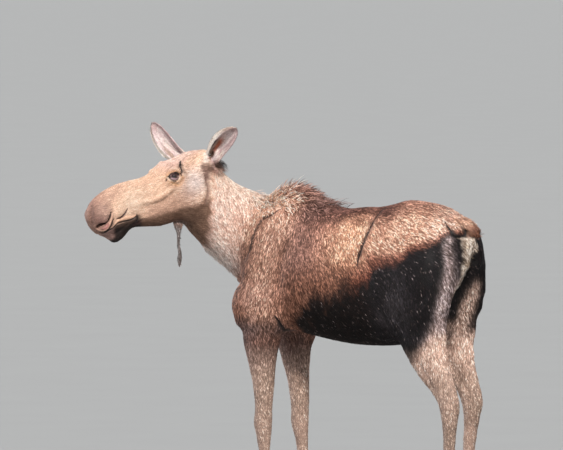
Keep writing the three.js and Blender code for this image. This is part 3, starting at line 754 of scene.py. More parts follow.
def throat_share(points):
    """1 under the throat and down the front of the neck, where the hair is shaggy."""
    q = HEAD.local(points)
    front = bump(q[:, 1], mm(75)) * step(-0.27, -0.36, q[:, 2]) * step(0.34, 0.24, q[:, 0])
    return front * step(1.18, 1.3, points[:, 2]) * step(-0.16, -0.1, q[:, 0])


def coat_depth(points, of):
    """How far the skin lies inside the tips of the coat."""
    z = points[:, 2]
    q = HEAD.local(points)
    legs = sum(of[leg] for leg in LEGS)
    leg_depth = mix(mm(2.6), mm(6), step(0.55, 0.95, z))
    face_depth = mix(mm(2), mm(4.5), step(0.2, 0.02, q[:, 0]))
    depth = (of["trunk"] + of["neck"]) * mm(7) + of["tail"] * mm(6)
    depth = depth + legs * leg_depth + of["head"] * face_depth
    return depth + mm(8) * throat_share(points) * (of["neck"] + of["head"])


# ---------------------------------------------------------------- the skin


UNDER_TAIL = mm([60, 0, 1540])
REAR_REACHES = mm([190, 150])  # the skin is finer this near to it
CREASE_REACHES = mm([34, 18])  # and this near to the creases
HEAD_MIDDLE = mm([40, 0, -120], [700, 0, -70])
HEAD_REACH = mm(215)  # and this near to the head's middle line
HUMP_HAIR = mm(32)  # how much deeper the hump's hair is
BULK_ROUNDS = 60  # how often trunk, neck and upper legs are evened out


def rough_skin():
    """The flesh fused, evened out and let in by the depth of the coat."""
    solids = [node for node in FLESH if node not in EARS and node != "bell"]
    skin, cad_points, owners = fused([*solids, "eye_left", "eye_right"])
    owners[np.char.startswith(owners, "eye")] = "head"
    mesh = skin.data
    points, edges = points_of(mesh), edges_of(mesh)
    of = memberships(points, edges, cad_points, owners)
    legs = sum(of[leg] for leg in LEGS)
    bulk = np.clip(of["trunk"] + of["neck"] + legs * step(0.5, 0.7, points[:, 2]), 0, 1)
    feet = step(0.06, 0.12, points[:, 2])
    points = smoothed(points, edges, bulk, BULK_ROUNDS)
    points = smoothed(points, edges, feet, 6)
    # the standing hair of the hump is deep: the skin under it is lower, and no sharper
    points[:, 2] -= HUMP_HAIR * hump_share(points)
    points = smoothed(points, edges, bump(1 - hump_share(points), 0.9), 6)
    move_points(mesh, points)
    points = points - normals_of(mesh) * (coat_depth(points, of) - mm(0.5))[:, None]
    move_points(mesh, points)
    return skin, cad_points, owners


def from_under_tail(points):
    return np.linalg.norm(BODY.local(points) - UNDER_TAIL, axis=1)


def sculpt_body(mesh, cad_points, owners):
    """Makes the skin finer where it has detail, then works the body's folds into it."""
    q = HEAD.local(face_centres(mesh))
    refine(mesh, (from_line(q, HEAD_MIDDLE)[0] < HEAD_REACH) & (q[:, 0] > mm(-60)))
    for reach in CREASE_REACHES:
        refine(mesh, near_creases(BODY.local(face_centres(mesh)), reach))
    for reach in REAR_REACHES:
        refine(mesh, from_under_tail(face_centres(mesh)) < reach)
    points, edges = points_of(mesh), edges_of(mesh)
    of = memberships(points, edges, cad_points, owners)
    rear = from_under_tail(points) < REAR_REACHES[0]
    creased = near_creases(BODY.local(points), mm(45))
    points = smoothed(points, edges, np.maximum(of["head"], rear | creased), 5)
    bulk = of["trunk"] + sum(of[leg] for leg in LEGS)
    bulk = bulk + of["neck"] * near_creases(BODY.local(points), mm(70))
    lay_on_skin(mesh, BODY, REAR_LINES)
    sculpted = body_sculpted(points, normals_of(mesh), np.clip(bulk, 0, 1))
    carry_along(BODY, REAR_LINES, points, sculpted)
    move_points(mesh, sculpted)


def sculpt_head(mesh, cad_points, owners):
    """The same for the head, in three finer and finer rounds."""
    lay_on_skin(mesh, HEAD, HEAD_LINES)
    for lines, reach in ((FINE_LINES, 1.2), (FINE_LINES, 0.75), (FINEST_LINES, 0.75)):
        refine(mesh, near_details(HEAD.local(face_centres(mesh)), lines, reach))
        points, edges = points_of(mesh), edges_of(mesh)
        near = near_details(HEAD.local(points), lines, reach * 1.2) * 1.0
        move_points(mesh, smoothed(points, edges, near, 3))
    points, edges = points_of(mesh), edges_of(mesh)
    of = memberships(points, edges, cad_points, owners)
    sculpted = head_sculpted(points, normals_of(mesh), of["head"])
    carry_along(HEAD, HEAD_LINES, points, sculpted)
    move_points(mesh, sculpted)


def build_skin():
    skin, cad_points, owners = rough_skin()
    sculpt_body(skin.data, cad_points, owners)
    sculpt_head(skin.data, cad_points, owners)
    for node in EARS:
        add_solid(skin, node, ear_solid(node))
    add_solid(skin, "bell", bell_solid())
    skin.data.shade_smooth()
    points, edges = points_of(skin.data), edges_of(skin.data)
    grown = {node: swollen(node)[0] for node in ("bell", *EARS)}
    cad_points = np.vstack([cad_points, *grown.values()])
    owners = np.concatenate([owners, *([node] * len(grown[node]) for node in grown)])
    return skin, memberships(points, edges, cad_points, owners)


# ---------------------------------------------------------------- markings

# Colours of the coat, as screen values.
SPINE = linear(78, 46, 39)
FLANK = linear(221, 162, 131)
RIB = linear(144, 100, 85)
# the low ribs' brown, also used as painted shade along the arm's groove
LOW_RIB_AND_GROOVE_SHADE = linear(124, 81, 62)
BELLY = linear(18, 8, 6)
BLACK = linear(14, 7, 8)
CROUP = linear(203, 149, 124)
RUMP = linear(209, 161, 139)
# painted highlight: the grey sheen of wet hair on the left thigh
PAINTED_SHEEN_GREY = linear(191, 166, 162)
SHOULDER = linear(165, 120, 99)
# the breast's own dark brown, also used as painted shadow behind the shoulder crease
BREAST_AND_CREASE_SHADOW = linear(117, 76, 58)
ELBOW = linear(92, 76, 74)
HUMP = linear(250, 188, 160)
HUMP_BACK = linear(124, 90, 80)
HUMP_TOP = linear(132, 94, 86)
SHOULDER_PALE = linear(197, 150, 129)
RIB_DARK = linear(116, 83, 72)
ARM_PALE = linear(184, 139, 121)
RED_EDGE = linear(89, 34, 17)
# painted highlight: a dull shine on the dark of the thigh
PAINTED_THIGH_SHINE = linear(70, 63, 65)
PERINEUM_DARK = linear(120, 92, 66)
NECK_PALE = linear(228, 198, 178)
NECK_TAN = linear(220, 175, 156)
# the neck's own pale grey front, painted paler still as painted light on it
NECK_GREY_AND_PAINTED_LIGHT = linear(230, 208, 198)
NECK_CREST = linear(214, 168, 150)
FACE = linear(220, 177, 150)
FOREHEAD = linear(215, 175, 159)
NOSE = linear(157, 120, 106)
CHEEK = linear(186, 147, 128)
CHEEK_GREY = linear(224, 211, 209)
NOSE_DARK = linear(116, 84, 77)
CHIN = linear(42, 32, 29)
JAW = linear(116, 88, 72)
LEG_GREY = linear(150, 126, 110)
LEG_PALE = linear(214, 177, 159)
HOOF_HAIR = linear(88, 70, 62)
PALE_HAIR = linear(120, 104, 100)
TAN = linear(180, 138, 115)
EAR_BACK = linear(176, 150, 136)
EAR_PALE = linear(241, 217, 216)
# pale hair at the ears' edges, brightened as painted rim light
EAR_RIM_AND_RIM_LIGHT = linear(244, 226, 212)
EAR_DEEP = linear(190, 112, 84)
MANE = linear(30, 26, 36)
# painted shadow: under the ears and in the groove of the jaw
PAINTED_SHADOW_BROWN = linear(112, 82, 72)
BELL = linear(108, 98, 94)
# dark bare skin at the lids, and painted shade in creases, folds, the nostrils, the mouth and the ears' slits
DARK_SKIN_AND_SHADE = linear(26, 18, 17)
# painted shade in the grooves of the muzzle and chin, and beside the ear's slit
PAINTED_GROOVE_SHADE = linear(66, 40, 38)
PINK_INSIDE = linear(196, 136, 128)
RIM_PALE = linear(232, 184, 158)
LIP_RED = linear(250, 201, 170)
LOWER_LIP = linear(88, 69, 60)
CHIN_FRONT = linear(171, 136, 126)
LID_GREY = linear(160, 132, 134)
# pale skin round the lids, also used as a painted highlight along the cheek
PALE_LID_AND_HIGHLIGHT = linear(244, 214, 190)
EAR_MAUVE = linear(172, 135, 133)
EAR_WHITE = linear(250, 236, 224)
EYE_SOCKET = linear(205, 149, 107)
PERINEUM = linear(238, 214, 194)

# The dark of the belly and thigh reaches up to this height, by distance forward of the buttocks,
# over an edge this soft.
DARK_EDGE = mm(
    [0, 1580, 20], [85, 1545, 20], [120, 1515, 20], [200, 1475, 22], [285, 1450, 25], [310, 1410, 25],
    [420, 1390, 35], [495, 1375, 35], [520, 1325, 55], [600, 1285, 80], [715, 1262, 105],
    [894, 1190, 105], [1007, 1125, 80], [1050, 1060, 50], [1110, 960, 50], [1500, 850, 50]
)
PAINTED_SHEEN_LINE = flank(  # painted highlight: the grey shine of wet hair down the back of the left thigh
    [80, 1520], [85, 1485], [66, 1369], [77, 1236], [106, 1130], [132, 1023], [179, 943], [230, 860]
)
# Lines drawn on the head: width, tone and how strong. Most are painted shade in grooves, folds, the nostril
# and the mouth; the lip's edge and the nostril's rim and wing are their own colours.
HEAD_DRAWN = [
    (NOSE_GROOVE, mm(12), PAINTED_GROOVE_SHADE, 0.5),
    (LIP_EDGE, mm(8.5), LIP_RED, 0.95),
    (NOSTRIL_RIM, mm(6), RIM_PALE, 0.8),
    (NOSTRIL_WING, mm(6), PINK_INSIDE, 0.9),
    (NOSTRIL_SLIT, mm(9), DARK_SKIN_AND_SHADE, 1.0),
    (RIM_CREASE, mm(6), DARK_SKIN_AND_SHADE, 0.9),
    (MOUTH_LINE, mm(5), DARK_SKIN_AND_SHADE, 0.95),
    (MOUTH_CORNER, mm(5.5), DARK_SKIN_AND_SHADE, 0.85),
    (CHIN_CREASE, mm(7), PAINTED_GROOVE_SHADE, 0.6),
    (JAW_GROOVE, mm(9), PAINTED_SHADOW_BROWN, 0.75),
    (BROW_FURROW, mm(9.5), DARK_SKIN_AND_SHADE, 1.0),
    (TEAR_LINE, mm(3.6), DARK_SKIN_AND_SHADE, 0.95),
    (LIP_FOLD, mm(6), PAINTED_GROOVE_SHADE, 0.95),
]


def layered(colour, *layers):
    """Lays tones over a colour one after the other, each with its share from 0 to 1."""
    for tone, share in layers:
        colour = mix(colour, tone, share)
    return colour


def behind_line(flat, line, reach):
    """1 just behind a crease that runs down the side, fading over the reach, and 0 before it; shadow is
    painted there behind the shoulder crease.
    """
    order = np.argsort(line[:, 2])
    forward = np.interp(flat[:, 2], line[order, 2], line[order, 0])
    back = forward - flat[:, 0]
    bottom, top = line[:, 2].min(), line[:, 2].max()
    ends = step(bottom - mm(60), bottom, flat[:, 2]) * step(top + mm(10), top - mm(60), flat[:, 2])
    return step(mm(-4), mm(2), back) * np.exp(-np.maximum(back, 0) / reach) * ends


def drawn(points, line, width, strongest=1.0):
    """How dark a drawn line is at each point: uneven in width and thin towards its ends."""
    distance, along = from_line(points, line)
    taper = 0.25 + 0.75 * step(0, 0.3, along) * step(1, 0.7, along)
    uneven = 1 + 0.3 * noise(points, mm(11), 51)
    return np.minimum(1.5 * bump(distance, width * taper * uneven), 1) * strongest


def side_colour(forward, up, flat):
    """The browns of the back, the sides, the hump and the shoulder."""
    return layered(
        RIB,
        (FLANK, bump(forward - 0.64, 0.16) * step(1.22, 1.4, up)),
        (CROUP, step(0.60, 0.50, forward) * step(1.3, 1.45, up)),
        (RUMP, step(0.28, 0.1, forward) * step(1.42, 1.5, up)),
        (SHOULDER, step(0.98, 1.2, forward)),
        (SHOULDER_PALE, bump(forward - 1.17, 0.12) * bump(up - 1.52, 0.17)),
        (RIB_DARK, bump(forward - 0.98, 0.09) * bump(up - 1.50, 0.16) * 0.6),
        (LOW_RIB_AND_GROOVE_SHADE, step(1.42, 1.24, up) * step(0.45, 0.6, forward) * step(1.2, 1.0, forward) * 0.9),
        (SPINE, step(1.545, 1.64, up) * step(0.28, 0.5, forward) * step(1.05, 0.95, forward) * 0.92),
        (SPINE, step(1.59, 1.70, up) * step(0.5, 0.3, forward) * 0.6),
        (HUMP, step(1.02, 1.16, forward) * step(1.5, 1.68, up)),
        (HUMP_BACK, bump(forward - 0.98, 0.11) * step(1.56, 1.66, up)),
        (HUMP_TOP, bump(forward - 1.11, 0.12) * step(1.68, 1.74, up) * 0.85),
        # painted shadow behind the shoulder crease
        (BREAST_AND_CREASE_SHADOW, behind_line(flat, SHOULDER_CREASE, mm(75)) * 0.75),
        (BREAST_AND_CREASE_SHADOW, step(1.26, 1.36, forward) * step(1.5, 1.35, up) * 0.9),
        # painted shade along the arm's groove
        (LOW_RIB_AND_GROOVE_SHADE, bump(from_line(flat, ARM_GROOVE)[0], mm(42)) * 0.6),
        (ARM_PALE, bump(forward - 1.23, 0.11) * bump(up - 1.20, 0.10) * 0.6),
        (ELBOW, step(1.12, 1.0, up) * step(1.08, 1.14, forward) * 0.85),
    )


def dark_layers(q, up, flat, wobble):
    """The dark of belly and thigh, its red edge above, and the painted highlights on the thigh."""
    forward = q[:, 0]
    height, soft = (np.interp(forward, DARK_EDGE[:, 0], DARK_EDGE[:, c]) for c in (1, 2))
    over = (height - q[:, 2]) / soft + 0.6 * wobble
    wide = np.interp(q[:, 2], [0.9, 1.1, 1.35], mm([58, 24, 17]))
    on_left = step(-0.02, 0.05, q[:, 1])
    # painted highlight: a grey sheen down the back of the left thigh only
    painted_sheen = bump(from_line(flat, PAINTED_SHEEN_LINE)[0], wide) * step(1.56, 1.50, q[:, 2]) * on_left
    return (
        (mix(RED_EDGE, LOW_RIB_AND_GROOVE_SHADE, step(0.5, 0.7, forward)), step(-2.3, -0.2, over) * 0.8),
        (mix(BELLY, BLACK, step(0.56, 0.48, forward)), step(-0.6, 1.0, over)),
        (PAINTED_SHEEN_GREY, painted_sheen * (0.65 + 0.3 * noise(q, mm(13), 33))),
        # painted highlight in the middle of the dark thigh
        (PAINTED_THIGH_SHINE, bump(forward - 0.36, 0.09) * bump(up - 1.15, 0.17) * 0.4),
    )


def rear_layers(q, up, wobble):
    """Painted shade in the folds beside the tail, the pale insides of the thighs and the pale patch under the
    tail.
    """
    forward, out = q[:, 0], np.abs(q[:, 1])
    both_sides = np.column_stack([forward, out, q[:, 2]])
    inner_thigh = bump(out - 0.085, 0.028) * step(1.34, 1.24, up) * step(0.22, 0.14, forward)
    wedge = np.interp(q[:, 2], [1.2, 1.33, 1.52], [0.014, 0.034, 0.036])
    beside = np.abs(q[:, 1] - np.interp(q[:, 2], [1.37, 1.5], [0.045, 0.03]))
    pale = step(wedge + 0.015, wedge - 0.02, beside + 0.02 * wobble)
    pale = pale * step(1.2, 1.28, up) * step(1.525, 1.51, q[:, 2])
    mottled = mix(PERINEUM, PERINEUM_DARK, step(-0.2, 0.7, noise(q, mm(22), 31)) * 0.7)
    return (
        # painted shade in the folds beside the tail
        *((DARK_SKIN_AND_SHADE, drawn(both_sides, fold, mm(12))) for fold in (TAIL_FOLD, TAIL_EDGE)),
        (LEG_PALE, inner_thigh * 0.7),
        (mottled, pale * step(0.2, 0.12, forward) * 0.9),
    )


def body_colour(q, wobble):
    """The coat of the trunk, q in the body's frame."""
    up, flat = q[:, 2] + 0.02 * wobble, q * [1, 0, 1]
    creases = ((HIP_CREASE, mm(9), 0.95), (SHOULDER_CREASE, mm(7), 0.8), (ELBOW_CREASE, mm(9), 0.9))
    return layered(
        side_colour(q[:, 0], up, flat),
        *dark_layers(q, up, flat, wobble),
        # painted shade along the body's creases
        *((DARK_SKIN_AND_SHADE, drawn(flat, line, width * 1.3, most)) for line, width, most in creases),
        *rear_layers(q, up, wobble),
    )


def leg_colour(points, wobble):
    q = BODY.local(points)
    forward, up = q[:, 0], q[:, 2] + 0.02 * wobble
    hind = step(0.8, 0.6, forward)
    before = (forward - 0.08) - 0.8 * (1.12 - up)  # how far before the pale back of the thigh
    inner = step(0.13, 0.09, np.abs(q[:, 1])) * step(1.32, 1.22, up)
    return layered(
        mix(ELBOW, LOW_RIB_AND_GROOVE_SHADE, 0.4),
        (BLACK, hind),
        (LEG_PALE, np.maximum(step(0.04, -0.05, before), 0.8 * inner) * hind),
        (mix(LEG_GREY, LEG_PALE, 0.4 + 0.4 * noise(points, mm(160), 9)), step(0.98, 0.72, up)),
        (HOOF_HAIR, step(0.16, 0.07, up) * 0.8),
    )


def face_colour(q, wobble):
    """The face without its drawn lines: its broad colours, blotches, jaw and chin."""
    along, out, up = q.T
    blotches = step(0.0, 0.8, noise(q, mm(34), 41)) * 0.45 + step(0.1, 0.9, noise(q, mm(14), 42)) * 0.3
    jaw_edge = np.interp(along, [-0.05, 0.15, 0.3, 0.45, 0.6], [-0.26, -0.24, -0.212, -0.178, -0.155])
    mouth = np.interp(along, [0.49, 0.556, 0.625, 0.675, 0.71], [-0.126, -0.126, -0.112, -0.124, -0.132])
    lower_lip = layered(
        LOWER_LIP,
        (CHIN, step(0.012, 0.034, mouth - up + 0.004 * wobble)),
        (CHIN_FRONT, step(0.635, 0.665, along) * step(0.07, 0.05, mouth - up)),
    )
    return layered(
        FACE,
        (FOREHEAD, step(-0.02, 0.02, up) * step(0.3, 0.2, along)),
        (NOSE, step(0.42, 0.6, along) * step(-0.03, 0.03, up) * 0.5),
        (NOSE, step(0.59, 0.69, along) * 0.9),
        (NOSE_DARK, bump(along - 0.69, 0.04) * bump(out - 0.066, 0.03) * bump(up + 0.052, 0.035) * 0.8),
        (CHEEK, step(-0.09, -0.15, up) * step(0.12, 0.2, along) * step(0.5, 0.4, along) * 0.6),
        (CHEEK_GREY, bump(along - 0.13, 0.07) * bump(up + 0.12, 0.07) * 0.7),
        (NECK_PALE, step(0.12, 0.04, along) * step(0, -0.1, up) * 0.6),
        (NOSE_DARK, blotches * mix(0.35, 1, step(0.5, 0.62, along))),
        (NOSE_DARK, bump(from_line(q + mm([0, 0, -9]), NOSTRIL_SLIT)[0], mm(17)) * 0.7),
        # painted highlight along the lower cheek
        (PALE_LID_AND_HIGHLIGHT, bump(along - 0.5, 0.1) * bump(up + 0.06, 0.06) * 0.6),
        (JAW, step(jaw_edge + 0.024, jaw_edge - 0.012, up + 0.008 * wobble)),
        (lower_lip, step(mouth + 0.002, mouth - 0.006, up) * step(0.46, 0.5, along)),
        (EYE_SOCKET, bump(from_line(q, UNDER_EYE)[0], mm(12)) * 0.7),
    )


def head_colour(points, wobble):
    q = folded(HEAD, points)
    across, rise, ahead = eye_spot(q)
    near_eye, rim = ahead > -mm(10), from_lids(across, rise)
    socket = step(1.5, 0.9, np.hypot(across / mm(36), rise / mm(27)))
    lid = mix(LID_GREY, DARK_SKIN_AND_SHADE, step(mm(-6), mm(0), rise + 0.25 * across))
    lid_width = 1.28 + 0.24 * step(mm(4), mm(-14), across) * step(mm(-4), mm(8), rise)  # broad above, behind
    return layered(
        face_colour(q, wobble),
        (EYE_SOCKET, socket * near_eye * 0.6),
        *((tone, drawn(q, line, width * 1.25, most)) for line, width, tone, most in HEAD_DRAWN),
        (PALE_LID_AND_HIGHLIGHT, bump(rim - 1.5, 0.2) * step(mm(2), mm(-6), rise) * near_eye),
        (DARK_SKIN_AND_SHADE, bump(rim - 1.14, 0.1) * near_eye * 0.7),
        (lid, step(lid_width, lid_width - 0.16, rim) * near_eye),
        # painted shadow of the ears
        (PAINTED_SHADOW_BROWN, painted_ear_shadow(points) * 0.85),
        (EAR_WHITE, bump(from_line(q, mm([-4, 92, -24], [24, 96, -46]))[0], mm(13)) * 0.8),
        (MANE, mane_share(points) * 0.95),
    )


def neck_colour(points, wobble):
    q, b = HEAD.local(points), BODY.local(points)
    flat = b * [1, 0, 1]
    front = curve(HEAD.world(mm([150, 30, -300], [210, 0, -420], [190, 120, -650])))
    return layered(
        NECK_TAN,
        (NECK_PALE, step(0.25, -0.1, q[:, 0] + q[:, 1])),
        # pale grey front of the neck, partly painted light
        (NECK_GREY_AND_PAINTED_LIGHT, bump(from_line(points, front)[0], mm(110)) * 0.85),
        (BREAST_AND_CREASE_SHADOW, step(1.36, 1.24, points[:, 2] + 0.03 * wobble) * 0.9),
        (NECK_CREST, bump(b[:, 1], 0.06) * step(1.6, 1.72, points[:, 2]) * 0.2),
        # painted shadow behind the shoulder crease
        (BREAST_AND_CREASE_SHADOW, behind_line(flat, SHOULDER_CREASE, mm(75)) * 0.6),
        # painted shade along the shoulder's crease
        (DARK_SKIN_AND_SHADE, drawn(flat, SHOULDER_CREASE, mm(9), 0.8)),
        # painted shadow of the ears
        (PAINTED_SHADOW_BROWN, painted_ear_shadow(points) * 0.85),
        (MANE, mane_share(points) * 0.95),
    )


def ear_spot(points, node):
    """Where points are on an ear: share of the length, place across the cup, and 1 inside it."""
    q = ear_place(node).local(points)
    share = q[:, 0] / ear_length(node)
    wide, deep = (np.interp(share, EAR_SHAPE[:, 0], EAR_SHAPE[:, c]) / 1000 for c in (1, 2))
    bow = EAR_SET[node][3] * np.sin(math.pi * np.clip(share, 0, 1))
    across = (q[:, 1] - bow) / np.maximum(wide, mm(5))
    reach = np.clip(np.where(across > 0, across / EAR_ROLL, -across), 0, 1)
    # the middle of its thickness
    cup = deep * (reach**2 - 0.5) - EAR_ROLL_SLOPE * wide * np.maximum(across - EAR_ROLL, 0)
    return share, across, step(mm(-1), mm(2), q[:, 2] - cup)


def ear_fringe(points, node):
    """1 where long white hair grows, inside the front edge of an ear."""
    share, across, _ = ear_spot(points, node)
    return step(0.76, 0.86, across) * step(0.55, 0.35, share) * step(-0.05, 0.02, share)


def ear_colour(points, node):
    """Grey outside; inside pale, with an orange hollow, painted shade in its slit and hole, and white hair in
    front.

    White hair fills the hollow of the right ear.
    """
    hollow = {"ear_left": 1.0, "ear_right": 0.1}[node]
    share, across, inside = ear_spot(points, node)

    def patch(aside, wide, along, long):
        return bump(across - aside, wide) * bump(share - along, long)

    speckle = step(0.1, 0.8, noise(points, mm(9), 61)) * step(0.3, 0.5, share)
    ragged = across + 0.09 * noise(points, mm(13), 62)
    slit = bump(ragged - 0.58, 0.12) * step(0.06, 0.12, share) * step(0.52, 0.42, share) * hollow
    hole = patch(EAR_HOLE[1], 0.26, EAR_HOLE[0], 0.07)
    inner = layered(
        EAR_PALE,
        (EAR_MAUVE, np.clip(step(0.74, 0.95, share) + step(-0.3, -0.62, across), 0, 1) * 0.6),
        (EAR_WHITE, patch(0.1, 0.2, 0.48, 0.12) * 0.6),
        (EAR_MAUVE, speckle * 0.45),
        (EAR_DEEP, np.minimum(1.5 * patch(0.24, 0.3, 0.33, 0.2), 1) * hollow),
        # painted shade beside the slit
        (PAINTED_GROOVE_SHADE, patch(0.48, 0.12, 0.36, 0.18) * 0.8 * hollow),
        (EAR_MAUVE, patch(-0.36, 0.13, 0.22, 0.09) * 0.9),
        (EAR_WHITE, patch(-0.12, 0.09, 0.2, 0.1) * 0.9),
        (EAR_WHITE, patch(-0.62, 0.12, 0.2, 0.12) * 0.9),
        # painted shade in the slit and the hole
        (DARK_SKIN_AND_SHADE, np.clip(2.4 * np.maximum(slit, hole), 0, 1)),
        (EAR_WHITE, step(0.66, 0.72, ragged) * step(0.85, 0.55, share)),
    )
    return layered(
        EAR_BACK,
        (inner, inside),
        (EAR_WHITE, step(0.62, 0.7, across) * step(0.85, 0.5, share)),
        # pale edge hair and painted rim light round the ear
        (EAR_RIM_AND_RIM_LIGHT, step(0.82, 0.98, np.abs(across)) * step(0.0, 0.1, share)),
    )


def markings(points, of):
    """The colour of the coat at each point of the skin, with painted shade in its creases and folds, and
    painted light and highlights in places.
    """
    wobble = noise(points, mm(70), 1) + 0.6 * noise(points, mm(28), 2)
    b = BODY.local(points)
    hind = step(0.8, 0.6, b[:, 0])
    legs = np.clip(sum(of[leg] for leg in LEGS), 0, 1)
    return layered(
        body_colour(b, wobble),
        (leg_colour(points, wobble), legs * step(1.25 + 0.11 * hind, 1.0 + 0.15 * hind, points[:, 2])),
        (neck_colour(points, wobble), of["neck"]),
        (head_colour(points, wobble), step(0.2, 0.8, of["head"])),
        (mix(TAN, LOW_RIB_AND_GROOVE_SHADE, step(0.055, 0.01, b[:, 0])), of["tail"] * 0.8),
        (BELL, of["bell"]),
        *((ear_colour(points, node), of[node]) for node in EARS),
    )


# ---------------------------------------------------------------- the lie of the coat


# How steeply the hair slopes down the side, by distance forward of the buttocks: metres, degrees.
LIE_SLOPE = np.array([[0, 30], [0.45, 34], [0.56, 58], [0.9, 64], [1.1, 86], [1.25, 92], [1.4, 104]])


def lie_of_coat(points, normals, edges, of):
    """Which way the hair lies at each point: back from the nose, along the body and down the legs."""
    q, b = HEAD.local(points), BODY.local(points)
    head = HEAD.turn(np.column_stack([
        np.full(len(points), -1.0),
        0.35 * np.sign(q[:, 1]) * step(0.62, 0.72, q[:, 0]),
        -0.45 * step(0.04, -0.12, q[:, 2]),
    ]))
    withers = BODY.world(mm([1180, 0, 1350]))
    crest = step(mm(120), mm(40), np.abs(b[:, 1])) * step(1.5, 1.7, points[:, 2])
    neck = unit(withers - points) + np.outer(mix(1.3, 0.15, crest), [0, 0, -1])
    slope = np.interp(b[:, 0], LIE_SLOPE[:, 0], LIE_SLOPE[:, 1])  # degrees below the level, backwards
    slope = mix(slope, 24, step(1.56, 1.70, points[:, 2]))
    slope = mix(slope, 70, step(1.42, 1.22, points[:, 2]) * step(0.5, 0.4, b[:, 0]))
    slope = np.radians(slope)
    trunk = np.column_stack([np.cos(slope), 0 * slope, -np.sin(slope)])
    down = np.tile([0.12, 0, -1.0], (len(points), 1))
    lie = trunk * of["trunk"][:, None] + head * of["head"][:, None] + neck * of["neck"][:, None]
    lie += down * sum(of[leg] for leg in LEGS)[:, None]
    lie += np.outer(of["tail"], [0.8, 0, -0.7]) + np.outer(of["bell"], [0, 0, -1])
    for node in EARS:
        lie += np.outer(of[node], ear_place(node).axes[0])
    swirl = np.column_stack([noise(points, mm(120), seed) for seed in (11, 12, 13)])
    lie = unit(unit(lie) + 0.16 * swirl)
    lie = spread(lie, edges, 4)
    return unit(lie - normals * np.sum(lie * normals, axis=1, keepdims=True))


# ---------------------------------------------------------------- how long, wide and dense the coat is


def bare_share(points, of):
    """1 where no hair grows: the lids' edges, inside the nostrils and between the lips."""
    q = folded(HEAD, points)
    across, rise, ahead = eye_spot(q)
    lids = step(1.3, 1.1, from_lids(across, rise)) * (ahead > -mm(12))
    slit = bump(from_line(q, NOSTRIL_SLIT)[0], mm(8))
    mouth = bump(from_line(q, MOUTH_LINE)[0], mm(4))
    return np.clip(lids + slit + mouth, 0, 1) * step(0.1, 0.5, of["head"])


def mane_share(points):
    """1 where the dark mane stands, behind and below the left ear and over the crest."""
    line = mm([-150, 14, -84], [-92, 24, -64], [-62, 52, -104], [-30, 78, -108])
    return np.minimum(1.5 * bump(from_line(HEAD.local(points), line)[0], mm(27)), 1)


def painted_ear_shadow(points):
    """1 where the ear's shadow is painted brown below and behind the left ear, and the same on the right."""
    q = folded(HEAD, points)
    line = mm([-6, 84, -112], [22, 92, -100], [52, 98, -72], [50, 100, -100], [64, 101, -130])
    return np.minimum(1.3 * bump(from_line(q, line)[0], mm(19)), 1)


def parting_share(points, of):
    """1 along the lines of the head and the creases of the body, where the hair is short and thin."""
    q, b = folded(HEAD, points), folded(BODY, points)
    head = np.max([bump(from_line(q, line)[0], mm(9)) for line in HEAD_PARTINGS], axis=0)
    sides = np.max([bump(from_line(b * [1, 0, 1], line)[0], mm(14)) for line in SHARP_CREASES], axis=0)
    rear = np.max([bump(from_line(b, line)[0], mm(17)) for line in (TAIL_FOLD, TAIL_EDGE)], axis=0)
    return mix(np.maximum(sides, rear), head, step(0.1, 0.5, of["head"]))


def blended(of, ear, leg, **others):
    """A value for each point from one for each kind of node."""
    values = {**others, **dict.fromkeys(EARS, ear), **dict.fromkeys(LEGS, leg)}
    total = sum(of[node] for node in values)
    return sum(of[node] * value for node, value in values.items()) / np.maximum(total, 1e-6)


def coat_sizes(points, of):
    """Length, width and rise of the tufts, how many for each square metre, and how flecked they are."""
    height = step(0.45, 1.0, points[:, 2])
    crown = step(0.34, 0.08, HEAD.local(points)[:, 0])
    foot = step(0.35, 0.1, points[:, 2])
    shaggy, mane = throat_share(points), mane_share(points)
    parting = parting_share(points, of)
    length = blended(
        of, trunk=mm(21), neck=mm(17) + mm(14) * shaggy + mm(14) * mane, tail=mm(28),
        head=mix(mm(8), mm(14), crown), bell=mm(10), ear=mm(10), leg=mix(mm(12), mm(22), height),
    )
    width = blended(
        of, trunk=mm(3.9), neck=mm(3), tail=mm(3.6), head=mix(mm(2.2), mm(2.6), crown), bell=mm(2.6),
        ear=mm(2.5), leg=mix(mm(3.4), mm(5), height),
    )
    rise = blended(of, trunk=14, neck=10 + 16 * shaggy + 26 * mane, tail=10, head=10, bell=14, ear=14, leg=14)
    density = blended(
        of, trunk=40000, neck=60000, tail=60000, head=88000, bell=80000, ear=70000,
        leg=mix(30000, 32000, height),
    )
    return {
        "length": length * (1 - 0.35 * foot) * (1 - 0.55 * parting),
        "width": width,
        "rise": np.radians(rise),
        "flecks": blended(of, trunk=1.45, neck=0.75, head=0.5, tail=0.8, bell=0.9, ear=0.45, leg=0.8),
        "density": density * (1 - bare_share(points, of)) * (1 - 0.8 * parting),
    }


# ---------------------------------------------------------------- tufts

PATCH = 0.003  # how much of the bake map one tuft takes
WARM_DARK = np.array([0.92, 1.0, 1.06])  # a dark fleck loses the least red, so it is browner
WHITEST_HAIR = np.array([0.92, 0.84, 0.76])  # no hair is lighter than this cream
DARKEST_FLECK, PALEST_FLECK = -1.4, 1.0  # as powers of e
PALE_IN_DARK = 0.035  # share of pale tufts where the coat is nearly black
LEAN = 0.35  # how far a lock's shading leans out at its sides and tip


